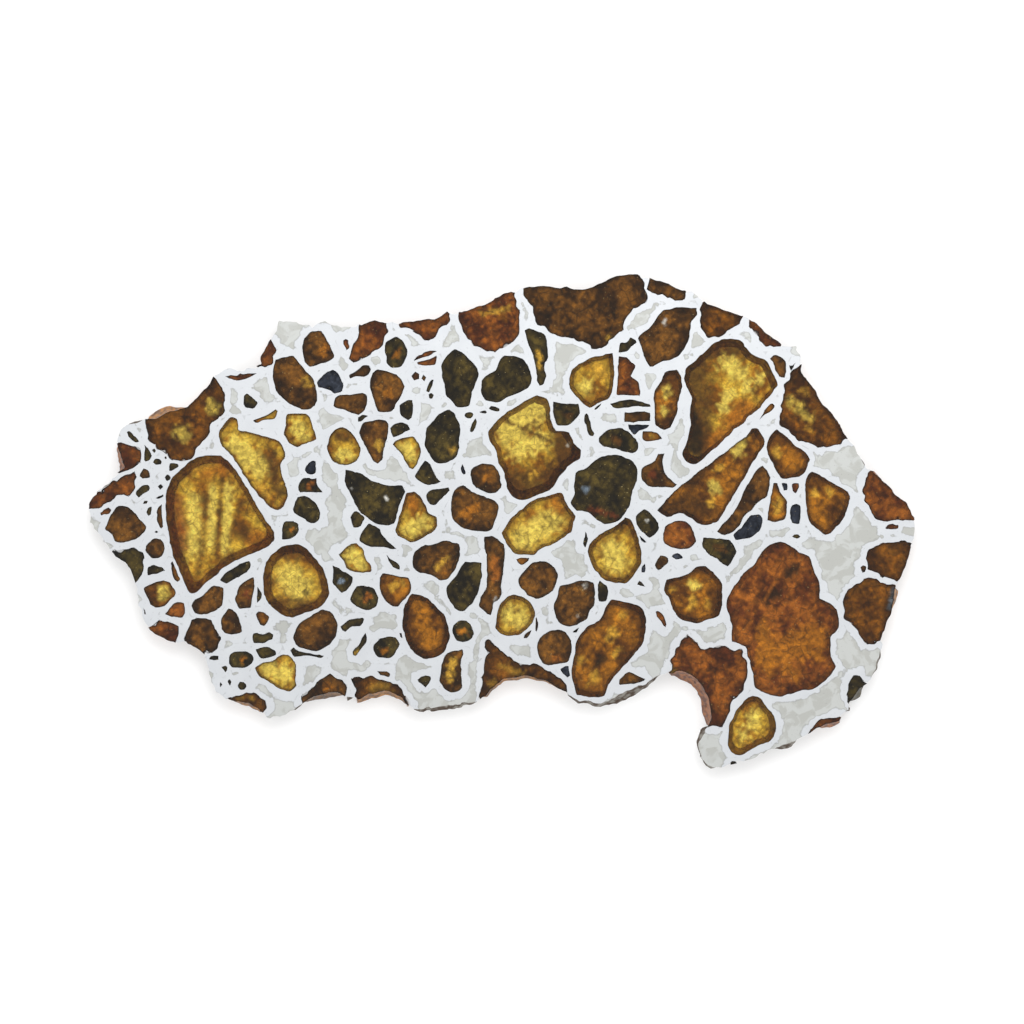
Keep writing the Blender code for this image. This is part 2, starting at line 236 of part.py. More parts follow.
# Crystals broken through at the rim. Their outer points stand past the rim, which trims them.
RIM_CRYSTALS = {
    "olivine_rim_north_west": ("amber", (
        (-57.3, 16.4), (-56.9, 14.8), (-56.4, 13.5), (-55.5, 12.5), (-53.8, 11.3), (-52.6, 10.3),
        (-50.8, 9.9), (-49.6, 10.4), (-48.9, 11.7), (-47.6, 13.3), (-46.5, 14.7), (-46.4, 15.8),
        (-45.0, 17.3), (-44.3, 18.4), (-44.4, 20.6), (-45.3, 22.6), (-46.8, 25.0), (-49.6, 22.8),
        (-51.4, 21.0), (-54.8, 21.0), (-57.6, 19.8), (-58.4, 18.2))),
    "olivine_rim_rust_west": ("rust", (
        (-60.8, 12.9), (-64.0, 13.9), (-64.8, 8.8), (-63.4, 7.4), (-61.6, 7.7), (-59.8, 8.5),
        (-58.3, 9.0), (-57.7, 9.7), (-57.7, 11.0), (-58.0, 12.1))),
    "olivine_rim_point_west": ("rust", (
        (-64.2, 5.1), (-66.6, 5.8), (-68.2, 4.0), (-67.8, 2.0), (-65.6, 2.2), (-64.4, 2.6),
        (-62.5, 3.6), (-61.4, 4.4), (-59.7, 4.5), (-58.9, 5.2), (-58.6, 6.4), (-58.4, 7.8),
        (-58.8, 8.2), (-60.0, 7.7), (-62.2, 6.8))),
    "olivine_rim_olive_west": ("dark", (
        (-62.2, -4.5), (-64.2, -5.4), (-62.0, -8.4), (-60.2, -10.4), (-58.0, -9.2), (-57.5, -8.2),
        (-57.2, -6.0), (-57.4, -4.8), (-58.1, -4.2), (-59.2, -3.9), (-60.5, -4.1))),
    "olivine_rim_sliver_north": ("rust", (
        (-38.6, 24.9), (-40.6, 25.0), (-40.4, 27.6), (-38.6, 30.6), (-37.2, 30.2), (-36.4, 28.7),
        (-35.9, 27.6), (-36.4, 26.6), (-37.0, 25.3), (-37.6, 24.8))),
    "olivine_rim_rust_north": ("rust", (
        (-24.4, 26.4), (-23.6, 28.6), (-22.8, 30.6), (-23.0, 33.8), (-18.5, 34.2), (-18.2, 31.4),
        (-18.1, 30.5), (-18.9, 29.0), (-19.7, 28.0), (-22.0, 26.5), (-23.8, 25.8))),
    "olivine_rim_rust_south_west": ("rust", (
        (-55.9, -16.2), (-57.8, -18.0), (-55.4, -20.0), (-52.2, -20.6), (-52.0, -18.8),
        (-51.6, -17.6), (-51.8, -16.6), (-52.6, -16.0), (-54.4, -15.6))),
    "olivine_rim_brown_south_west": ("brown", (
        (-49.5, -15.3), (-50.3, -17.2), (-50.9, -18.5), (-51.3, -21.2), (-48.2, -22.6),
        (-47.2, -20.9), (-46.0, -20.3), (-45.1, -19.4), (-45.0, -18.2), (-45.9, -16.7),
        (-46.3, -15.3))),
    "olivine_rim_amber_south_west": ("amber", (
        (-43.8, -28.0), (-45.4, -29.8), (-42.0, -31.4), (-38.8, -32.4), (-38.1, -30.2),
        (-37.6, -29.4), (-37.7, -28.6), (-38.5, -27.8), (-39.8, -26.9), (-41.8, -27.4))),
    "olivine_rim_brown_south": ("brown", (
        (-27.5, -24.0), (-28.8, -24.9), (-30.0, -26.2), (-31.6, -27.3), (-32.0, -28.3),
        (-32.6, -30.8), (-28.0, -29.8), (-24.6, -30.2), (-24.6, -28.0), (-24.9, -26.0),
        (-26.2, -24.7))),
    "olivine_rim_arch_south": ("amber", (
        (-23.9, -24.5), (-23.6, -26.0), (-23.4, -27.4), (-23.3, -30.6), (-20.0, -30.0),
        (-17.0, -30.2), (-14.8, -32.0), (-14.5, -29.4), (-14.7, -28.6), (-15.5, -27.4),
        (-16.6, -25.9), (-18.2, -25.4), (-20.6, -24.5), (-22.0, -24.6))),
    "olivine_rim_bridge_south": ("amber", (
        (-2.9, -18.8), (-2.8, -19.8), (-2.3, -20.8), (-2.5, -21.9), (-2.8, -23.6), (-3.2, -25.4),
        (-3.4, -27.4), (-3.6, -30.2), (-0.6, -29.4), (1.6, -27.2), (5.0, -27.2), (8.0, -28.0),
        (10.8, -29.8), (10.5, -26.8), (10.0, -25.4), (9.0, -24.3), (7.4, -23.6), (6.0, -22.6),
        (4.0, -22.6), (2.0, -21.8), (0.2, -20.4), (-1.2, -19.2), (-2.0, -18.5))),
    "olivine_rim_wedge_north": ("rust", (
        (-12.4, 29.4), (-13.2, 30.1), (-14.8, 31.2), (-16.5, 31.5), (-16.9, 33.8), (-11.5, 34.6),
        (-8.2, 35.4), (-8.2, 32.6), (-8.9, 31.8), (-9.9, 30.8), (-11.0, 29.5))),
    "olivine_rim_great_rust": ("rust", (
        (-2.3, 27.5), (-3.5, 28.2), (-4.8, 29.0), (-5.6, 29.8), (-6.5, 31.5), (-7.0, 33.2),
        (-7.2, 35.4), (-3.4, 36.8), (-0.6, 38.4), (2.2, 38.9), (2.2, 36.6), (2.4, 35.2),
        (2.9, 33.6), (3.0, 32.0), (3.0, 30.5), (2.2, 29.3), (0.4, 28.4), (-1.0, 27.5))),
    "olivine_rim_great_brown": ("brown", (
        (3.5, 36.6), (3.1, 39.2), (6.0, 39.9), (10.0, 39.8), (14.6, 39.9), (19.2, 41.8),
        (22.8, 41.4), (22.8, 38.0), (23.0, 36.9), (23.3, 36.2), (23.0, 35.2), (21.2, 34.3),
        (20.0, 32.9), (19.3, 31.1), (18.1, 29.8), (16.8, 28.5), (15.6, 27.8), (14.5, 27.8),
        (13.7, 28.7), (11.6, 29.5), (9.4, 29.9), (7.8, 30.6), (6.7, 31.6), (5.5, 32.3),
        (5.1, 33.8), (4.4, 35.4))),
    "olivine_rim_strip_north": ("brown", (
        (23.6, 37.2), (23.6, 41.0), (27.4, 40.4), (30.6, 38.6), (29.6, 36.6), (28.8, 35.9),
        (27.0, 36.0), (25.0, 36.6))),
    "olivine_rim_olive_north": ("amber", (
        (31.9, 34.9), (32.7, 37.4), (36.2, 36.4), (39.6, 34.4), (38.3, 32.5), (37.3, 31.5),
        (36.0, 30.7), (34.4, 29.8), (33.4, 29.8), (32.5, 30.3), (31.9, 31.4), (31.8, 33.2))),
    "olivine_rim_rust_north_east": ("rust", (
        (39.5, 32.2), (39.9, 34.4), (41.6, 33.4), (44.0, 31.4), (46.2, 29.8), (44.8, 28.3),
        (43.6, 28.2), (42.3, 28.4), (41.4, 29.2), (40.7, 30.5), (39.7, 31.2))),
    "olivine_rim_notch_south_east": ("rust", (
        (29.9, -17.8), (29.1, -18.4), (27.9, -20.1), (27.1, -22.0), (27.1, -23.4), (26.0, -24.1),
        (25.7, -26.6), (29.0, -27.2), (30.4, -29.8), (30.4, -32.8), (33.4, -32.5), (35.2, -32.4),
        (36.0, -31.4), (36.6, -29.9), (37.1, -28.3), (38.5, -26.9), (39.0, -25.2), (39.5, -23.4),
        (39.0, -21.6), (38.4, -20.3), (37.0, -20.1), (35.0, -19.6), (33.2, -20.0),
        (31.8, -20.0), (31.0, -18.6))),
    "olivine_rim_gold_east": ("amber", (
        (46.4, 24.2), (48.0, 26.0), (50.4, 24.2), (52.6, 21.0), (55.4, 17.4), (57.4, 13.4),
        (54.9, 13.2), (53.6, 12.5), (51.8, 12.2), (49.4, 12.7), (47.6, 13.2), (46.0, 14.7),
        (44.7, 15.9), (44.6, 17.8), (45.0, 20.2), (45.4, 22.2))),
    "olivine_rim_rust_east": ("rust", (
        (58.4, 7.9), (57.9, 6.2), (58.0, 4.2), (58.8, 2.4), (60.0, 0.8), (61.6, 0.4), (64.0, 0.5),
        (67.6, 0.4), (67.4, 2.6), (65.4, 5.6), (63.4, 7.6), (61.6, 10.2), (59.6, 8.6))),
    "olivine_rim_amber_east": ("amber", (
        (58.9, -4.0), (58.3, -4.8), (58.3, -6.0), (58.8, -7.2), (60.0, -8.0), (61.8, -8.9),
        (63.4, -9.3), (66.4, -9.0), (67.6, -3.2), (64.0, -2.8), (61.0, -3.2))),
    "olivine_rim_long_east": ("amber", (
        (58.6, -8.6), (56.4, -9.9), (54.9, -11.2), (54.7, -13.2), (54.9, -15.2), (55.8, -15.8),
        (56.9, -17.0), (57.9, -18.9), (59.2, -19.4), (60.3, -19.0), (63.0, -18.8), (64.4, -15.0),
        (65.8, -10.2), (63.0, -9.9), (61.4, -9.6), (59.6, -8.6))),
    "olivine_rim_strip_south_east": ("dark", (
        (35.8, -38.8), (34.8, -41.4), (38.4, -41.2), (42.0, -40.0), (45.8, -38.2), (45.5, -36.3),
        (43.8, -36.5), (42.0, -37.1), (40.4, -38.0), (38.6, -38.0), (37.0, -38.1))),
    "olivine_rim_rust_south_east": ("rust", (
        (47.0, -35.4), (46.8, -37.6), (48.8, -37.0), (53.4, -34.8), (56.8, -31.6), (54.8, -30.5),
        (53.0, -31.1), (50.8, -31.4), (49.7, -32.6), (48.1, -34.4))),
    "olivine_rim_cluster_south_east": ("dark", (
        (56.3, -24.4), (55.6, -25.4), (55.3, -26.6), (55.2, -27.8), (55.7, -29.1),
        (57.6, -30.6), (60.8, -26.6), (58.9, -25.6), (58.1, -25.3), (57.3, -24.3))),
}


def clear_scene():
    """Remove every object that the open file holds."""
    for thing in list(bpy.data.objects):
        bpy.data.objects.remove(thing, do_unlink=True)


def new_collection(name):
    """Make a collection in the scene and return it."""
    made = bpy.data.collections.new(name)
    bpy.context.scene.collection.children.link(made)
    return made


def look_material(name, look):
    """A plain Principled material in the colour of one look."""
    material = bpy.data.materials.new(name)
    material.use_nodes = True
    shader = material.node_tree.nodes["Principled BSDF"]
    red, green, blue = LOOKS[look]
    shader.inputs["Base Color"].default_value = (red, green, blue, 1.0)
    shader.inputs["Roughness"].default_value = 0.3 if look == "metal" else 0.15
    shader.inputs["Metallic"].default_value = 1.0 if look in ("metal", "sulphide") else 0.0
    if look in ("clear", "amber"):
        shader.inputs["Transmission Weight"].default_value = 1.0
        shader.inputs["IOR"].default_value = 1.67
    return material


def is_counter_clockwise(loop):
    """Whether a closed outline runs counter-clockwise."""
    area = 0.0
    for index, (x, y) in enumerate(loop):
        next_x, next_y = loop[(index + 1) % len(loop)]
        area += x * next_y - next_x * y
    return area > 0.0


def wound(loop):
    """The outline as vectors, counter-clockwise."""
    points = [Vector(point) for point in loop]
    if not is_counter_clockwise(loop):
        points.reverse()
    return points


def corner_normals(points):
    """The outward direction at each corner of a counter-clockwise outline, with its mitre length."""
    normals = []
    for index, point in enumerate(points):
        before = (point - points[index - 1]).normalized()
        after = (points[(index + 1) % len(points)] - point).normalized()
        out_before = Vector((before.y, -before.x))
        out_after = Vector((after.y, -after.x))
        middle = out_before + out_after
        if middle.length < 0.2:
            middle = out_before
        middle.normalize()
        reach = 1.0 / max(middle.dot(out_after), 0.6)
        normals.append(middle * reach)
    return normals


def grown(points, distance):
    """The outline moved outward by a distance, or inward where it is negative."""
    return [point + normal * distance for point, normal in zip(points, corner_normals(points))]


def nearest_on(points, place):
    """The nearest place on a closed outline, and the distance to it, negative inside."""
    best = None
    best_distance = math.inf
    inside = False
    for index, end in enumerate(points):
        start = points[index - 1]
        along = end - start
        share = max(0.0, min(1.0, (place - start).dot(along) / along.length_squared))
        foot = start + along * share
        distance = (place - foot).length
        if distance < best_distance:
            best = foot
            best_distance = distance
        if (start.y > place.y) != (end.y > place.y):
            crossing = start.x + (place.y - start.y) * along.x / along.y
            if place.x < crossing:
                inside = not inside
    return best, -best_distance if inside else best_distance


def box_of(points, margin):
    """The outline's bounds, wider by a margin."""
    return (
        min(point.x for point in points) - margin,
        min(point.y for point in points) - margin,
        max(point.x for point in points) + margin,
        max(point.y for point in points) + margin,
    )


def in_box(place, box):
    """Whether a place lies in the bounds."""
    return box[0] <= place.x <= box[2] and box[1] <= place.y <= box[3]


def push_off(points, other, wall):
    """Move the corners of one outline off another by half of what is missing to a wall."""
    moved = False
    box = box_of(other, wall)
    for index, place in enumerate(points):
        if not in_box(place, box):
            continue
        foot, distance = nearest_on(other, place)
        if distance >= wall - 0.005:
            continue
        away = place - foot
        if away.length < 1e-6:
            away = corner_normals(points)[index] * -1.0
        elif distance < 0.0:
            away.negate()
        points[index] = place + away.normalized() * (wall - distance) * 0.5
        moved = True
    return moved


def hold_inside(points, rim, wall):
    """Move the corners of an outline in from the rim until a wall of metal stands outside them."""
    for index, place in enumerate(points):
        foot, distance = nearest_on(rim, place)
        if distance <= -wall:
            continue
        inward = foot - place if distance > 0.0 else place - foot
        points[index] = foot + inward.normalized() * wall


def part_pockets(outlines, inner_names, rim_loops):
    """Part the pockets so that a wall of metal stands between any two, and inside the rim."""
    names = list(outlines)
    for _ in range(RELAX_ROUNDS):
        moved = False
        for name in names:
            box = box_of(outlines[name], METAL_WALL)
            for other in names:
                if other == name:
                    continue
                if any(in_box(place, box) for place in outlines[other]):
                    moved |= push_off(outlines[other], outlines[name], METAL_WALL)
        for name in inner_names:
            for rim in rim_loops:
                hold_inside(outlines[name], rim, RIM_WALL)
        if not moved:
            break


def lean_at(place):
    """How far the underside stands out past the polished face at a place on the rim."""
    lean = RIM_LEAN
    for x, y, reach, amount in LEAN_PLACES:
        gap = (place.x - x) ** 2 + (place.y - y) ** 2
        lean += (amount - RIM_LEAN) * math.exp(-gap / reach ** 2)
    return lean


def rim_rings():
    """The rim on the polished face and on the underside. The outer of the two is what shows."""
    seen = wound(RIM)
    face = []
    under = []
    for point, normal in zip(seen, corner_normals(seen)):
        lean = lean_at(point)
        face.append(point - normal * max(lean, 0.0))
        under.append(point + normal * min(lean, 0.0))
    return face, under


def slab(name, ring, low, high, home):
    """A flat slab with the outline of a ring, from a filled 2D curve, between two heights."""
    curve = bpy.data.curves.new(name, "CURVE")
    curve.dimensions = "2D"
    curve.fill_mode = "BOTH"
    curve.extrude = (high - low) * 0.5 * MM
    spline = curve.splines.new("POLY")
    spline.points.add(len(ring) - 1)
    for point, place in zip(spline.points, ring):
        point.co = (place.x * MM, place.y * MM, 0.0, 1.0)
    spline.use_cyclic_u = True
    drawn = bpy.data.objects.new(name + "_drawn", curve)
    home.objects.link(drawn)
    bpy.context.view_layer.update()
    mesh = bpy.data.meshes.new_from_object(drawn.evaluated_get(bpy.context.evaluated_depsgraph_get()))
    bpy.data.objects.remove(drawn, do_unlink=True)
    mesh.name = name
    raise_and_weld(mesh, (high + low) * 0.5 * MM)
    made = bpy.data.objects.new(name, mesh)
    home.objects.link(made)
    return made


def raise_and_weld(mesh, height):
    """Lift a mesh to its height, weld its caps to its walls and turn its faces outward."""
    solid = bmesh.new()
    solid.from_mesh(mesh)
    bmesh.ops.remove_doubles(solid, verts=solid.verts, dist=1e-6)
    bmesh.ops.translate(solid, verts=solid.verts, vec=(0.0, 0.0, height))
    bmesh.ops.recalc_face_normals(solid, faces=solid.faces)
    solid.to_mesh(mesh)
    solid.free()


def reshape_ring(thing, height, old, new):
    """Move the corners at one height from an old ring to a new one, corner for corner."""
    for vertex in thing.data.vertices:
        if abs(vertex.co.z - height * MM) > 1e-6:
            continue
        place = Vector((vertex.co.x / MM, vertex.co.y / MM))
        corner = min(range(len(old)), key=lambda index: (old[index] - place).length_squared)
        vertex.co.x = new[corner].x * MM
        vertex.co.y = new[corner].y * MM


def narrowed(ring, window, height):
    """The ring at a height, for a piece that narrows from the polished face to its underside."""
    x, y, share = window
    centre = Vector((x, y))
    scale = share + (1.0 - share) * height / THICKNESS
    return [centre + (point - centre) * scale for point in ring]


def tapered_slab(name, ring, window, low, high, home):
    """A slab whose outline follows the window's taper at both heights."""
    top = narrowed(ring, window, high)
    base = narrowed(ring, window, low)
    made = slab(name, top, low, high, home)
    reshape_ring(made, low, top, base)
    return made


def apply_boolean(target, operation, operand=None, operands=None):
    """Carry out one exact boolean on a target and keep its mesh.

    Where the exact solver leaves nothing, the manifold solver does the same cut.
    """
    step = target.modifiers.new("cut", "BOOLEAN")
    step.operation = operation
    if operands:
        step.operand_type = "COLLECTION"
        step.collection = operands
    else:
        step.object = operand
    for solver in ("EXACT", "MANIFOLD"):
        step.solver = solver
        bpy.context.view_layer.update()
        graph = bpy.context.evaluated_depsgraph_get()
        result = bpy.data.meshes.new_from_object(target.evaluated_get(graph))
        if len(result.polygons) > 0:
            break
    target.modifiers.clear()
    old = target.data
    target.data = result
    bpy.data.meshes.remove(old)


def tidy(thing, look):
    """Triangulate a finished solid, turn its faces outward and give it its material."""
    solid = bmesh.new()
    solid.from_mesh(thing.data)
    bmesh.ops.remove_doubles(solid, verts=solid.verts, dist=2e-6)
    bmesh.ops.dissolve_degenerate(solid, edges=solid.edges, dist=2e-6)
    bmesh.ops.dissolve_limit(
        solid, angle_limit=math.radians(0.05), verts=solid.verts, edges=solid.edges)
    bmesh.ops.triangulate(solid, faces=solid.faces)
    bmesh.ops.recalc_face_normals(solid, faces=solid.faces)
    solid.to_mesh(thing.data)
    solid.free()
    thing.data.materials.clear()
    thing.data.materials.append(look_material(thing.name + "_finish", look))


def hide_cutter(thing):
    """Show a cutter as wire, and leave it out of a render."""
    thing.hide_render = True
    thing.display_type = "WIRE"


def build():
    """Build the web and every crystal."""
    clear_scene()
    pieces = new_collection("meteorite_slice")
    cutters = new_collection("cutters")
    face_rim, under_rim = rim_rings()
    outlines = {name: wound(entry[2]) for name, entry in INNER.items()}
    outlines.update({name: wound(entry[1]) for name, entry in RIM_CRYSTALS.items()})
    part_pockets(outlines, list(INNER), (face_rim, under_rim))

    for name, (look, window, _) in INNER.items():
        pocket = tapered_slab(
            "pocket_" + name, outlines[name], window, -CUTTER_REACH, THICKNESS + CUTTER_REACH, cutters)
        hide_cutter(pocket)
        crystal = tapered_slab(
            name, grown(outlines[name], -SEAM), window, 0.0, THICKNESS, pieces)
        tidy(crystal, look)

    body = slab("iron_web", face_rim, 0.0, THICKNESS, pieces)
    reshape_ring(body, 0.0, face_rim, under_rim)
    trimmer = body.copy()
    trimmer.data = body.data.copy()
    trimmer.name = "rim_trimmer"
    trims = new_collection("trimmers")
    trims.objects.link(trimmer)
    hide_cutter(trimmer)

    for name, (look, _) in RIM_CRYSTALS.items():
        pocket = slab(
            "pocket_" + name, outlines[name], -CUTTER_REACH, THICKNESS + CUTTER_REACH, cutters)
        hide_cutter(pocket)
        crystal = slab(
            name, grown(outlines[name], -SEAM), -CUTTER_REACH, THICKNESS + CUTTER_REACH, pieces)
        apply_boolean(crystal, "INTERSECT", operand=trimmer)
        tidy(crystal, look)

    apply_boolean(body, "DIFFERENCE", operands=cutters)
    tidy(body, "metal")


build()
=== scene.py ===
"""The looks of a polished stony-iron meteorite slice: an iron-nickel web full of olivine crystals.

The frame gives the web and the large crystals as faceted solids. This script reads their outlines,
draws each one again as a fine closed mesh with a smoother edge, adds the crystals that are too
small for a solid of their own, and gives every surface its finish.
"""
import json
import logging
import math
from dataclasses import dataclass
from enum import Enum

import bpy
import numpy as np
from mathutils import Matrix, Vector
from mathutils.geometry import delaunay_2d_cdt


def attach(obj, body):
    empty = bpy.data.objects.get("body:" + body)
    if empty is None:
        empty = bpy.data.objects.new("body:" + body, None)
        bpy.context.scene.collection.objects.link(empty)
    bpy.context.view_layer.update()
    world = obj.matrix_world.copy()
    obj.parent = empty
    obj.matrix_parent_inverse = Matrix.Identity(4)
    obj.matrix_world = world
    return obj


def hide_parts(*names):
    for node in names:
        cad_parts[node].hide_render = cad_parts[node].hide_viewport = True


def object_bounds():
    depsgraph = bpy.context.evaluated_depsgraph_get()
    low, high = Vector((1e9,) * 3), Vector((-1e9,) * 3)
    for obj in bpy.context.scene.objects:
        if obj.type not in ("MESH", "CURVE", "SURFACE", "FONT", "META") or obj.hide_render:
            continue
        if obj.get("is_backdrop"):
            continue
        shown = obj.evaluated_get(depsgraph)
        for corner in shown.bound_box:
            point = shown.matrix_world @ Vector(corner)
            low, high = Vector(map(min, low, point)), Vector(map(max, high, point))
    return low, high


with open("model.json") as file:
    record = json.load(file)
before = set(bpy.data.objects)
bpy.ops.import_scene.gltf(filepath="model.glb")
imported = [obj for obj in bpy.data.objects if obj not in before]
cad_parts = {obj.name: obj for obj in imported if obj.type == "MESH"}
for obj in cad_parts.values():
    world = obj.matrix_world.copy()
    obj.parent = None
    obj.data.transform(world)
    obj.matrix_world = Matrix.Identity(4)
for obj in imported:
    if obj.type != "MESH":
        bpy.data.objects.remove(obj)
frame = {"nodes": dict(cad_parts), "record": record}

LOG = logging.getLogger("slice")

MM = 0.001
EDGE_STEP = 0.45
WEB_LATTICE = 0.62
CRYSTAL_LATTICE = 0.48
SMALL_LATTICE = 0.36
SKIN_GAP = 0.03
CAD_SEAM = 0.25
LEVELS = 5
SMALL_WALL = 0.30


class Kind(Enum):
    """What a crystal is made of. The value is the record's material slot."""

    CLEAR = "olivine_clear"
    AMBER = "olivine_amber"
    BROWN = "olivine_brown"
    DARK = "olivine_dark"
    RUST = "olivine_rust"
    TROILITE = "troilite"


class Tone(Enum):
    """The colour of a mark inside a crystal, as sRGB."""

    WINDOW = "F8DE66"
    GOLD = "E0AE3C"
    AMBER = "B87218"
    ORANGE = "AE661E"
    BROWN = "5C3A10"
    RUST = "7C3A18"
    BLACK = "1C160A"
    BLUE = "8FA2B4"
    # A painted glint: a highlight where a fracture catches the light.
    GLINT = "F4F2E8"


@dataclass(frozen=True)
class Finish:
    """Colours and clearness of one kind of crystal.

    Args:
        light: The colour of its clearer parts.
        deep: The colour of its stained parts.
        edge_shade: The colour of the painted shade along its edge, where its sloping side would cut off the
            light from below; its cracks take this colour too.
        clearness: Share of the light that goes into the crystal.
        density: How fast light is taken up inside, per metre.
    """

    light: str
    deep: str
    edge_shade: str
    clearness: float
    density: float


FINISHES = {
    Kind.CLEAR: Finish("E6BC3E", "96600F", "3C260A", 1.0, 60.0),
    Kind.AMBER: Finish("C07C1A", "5E360A", "281808", 0.9, 60.0),
    Kind.BROWN: Finish("8E5C1C", "3C240A", "1C1206", 0.6, 0.0),
    Kind.DARK: Finish("5E4E1E", "1E190B", "120E08", 0.5, 0.0),
    Kind.RUST: Finish("B0661E", "602E10", "24140A", 0.6, 0.0),
    Kind.TROILITE: Finish("545A66", "454A56", "2A2C32", 0.0, 0.0),
}
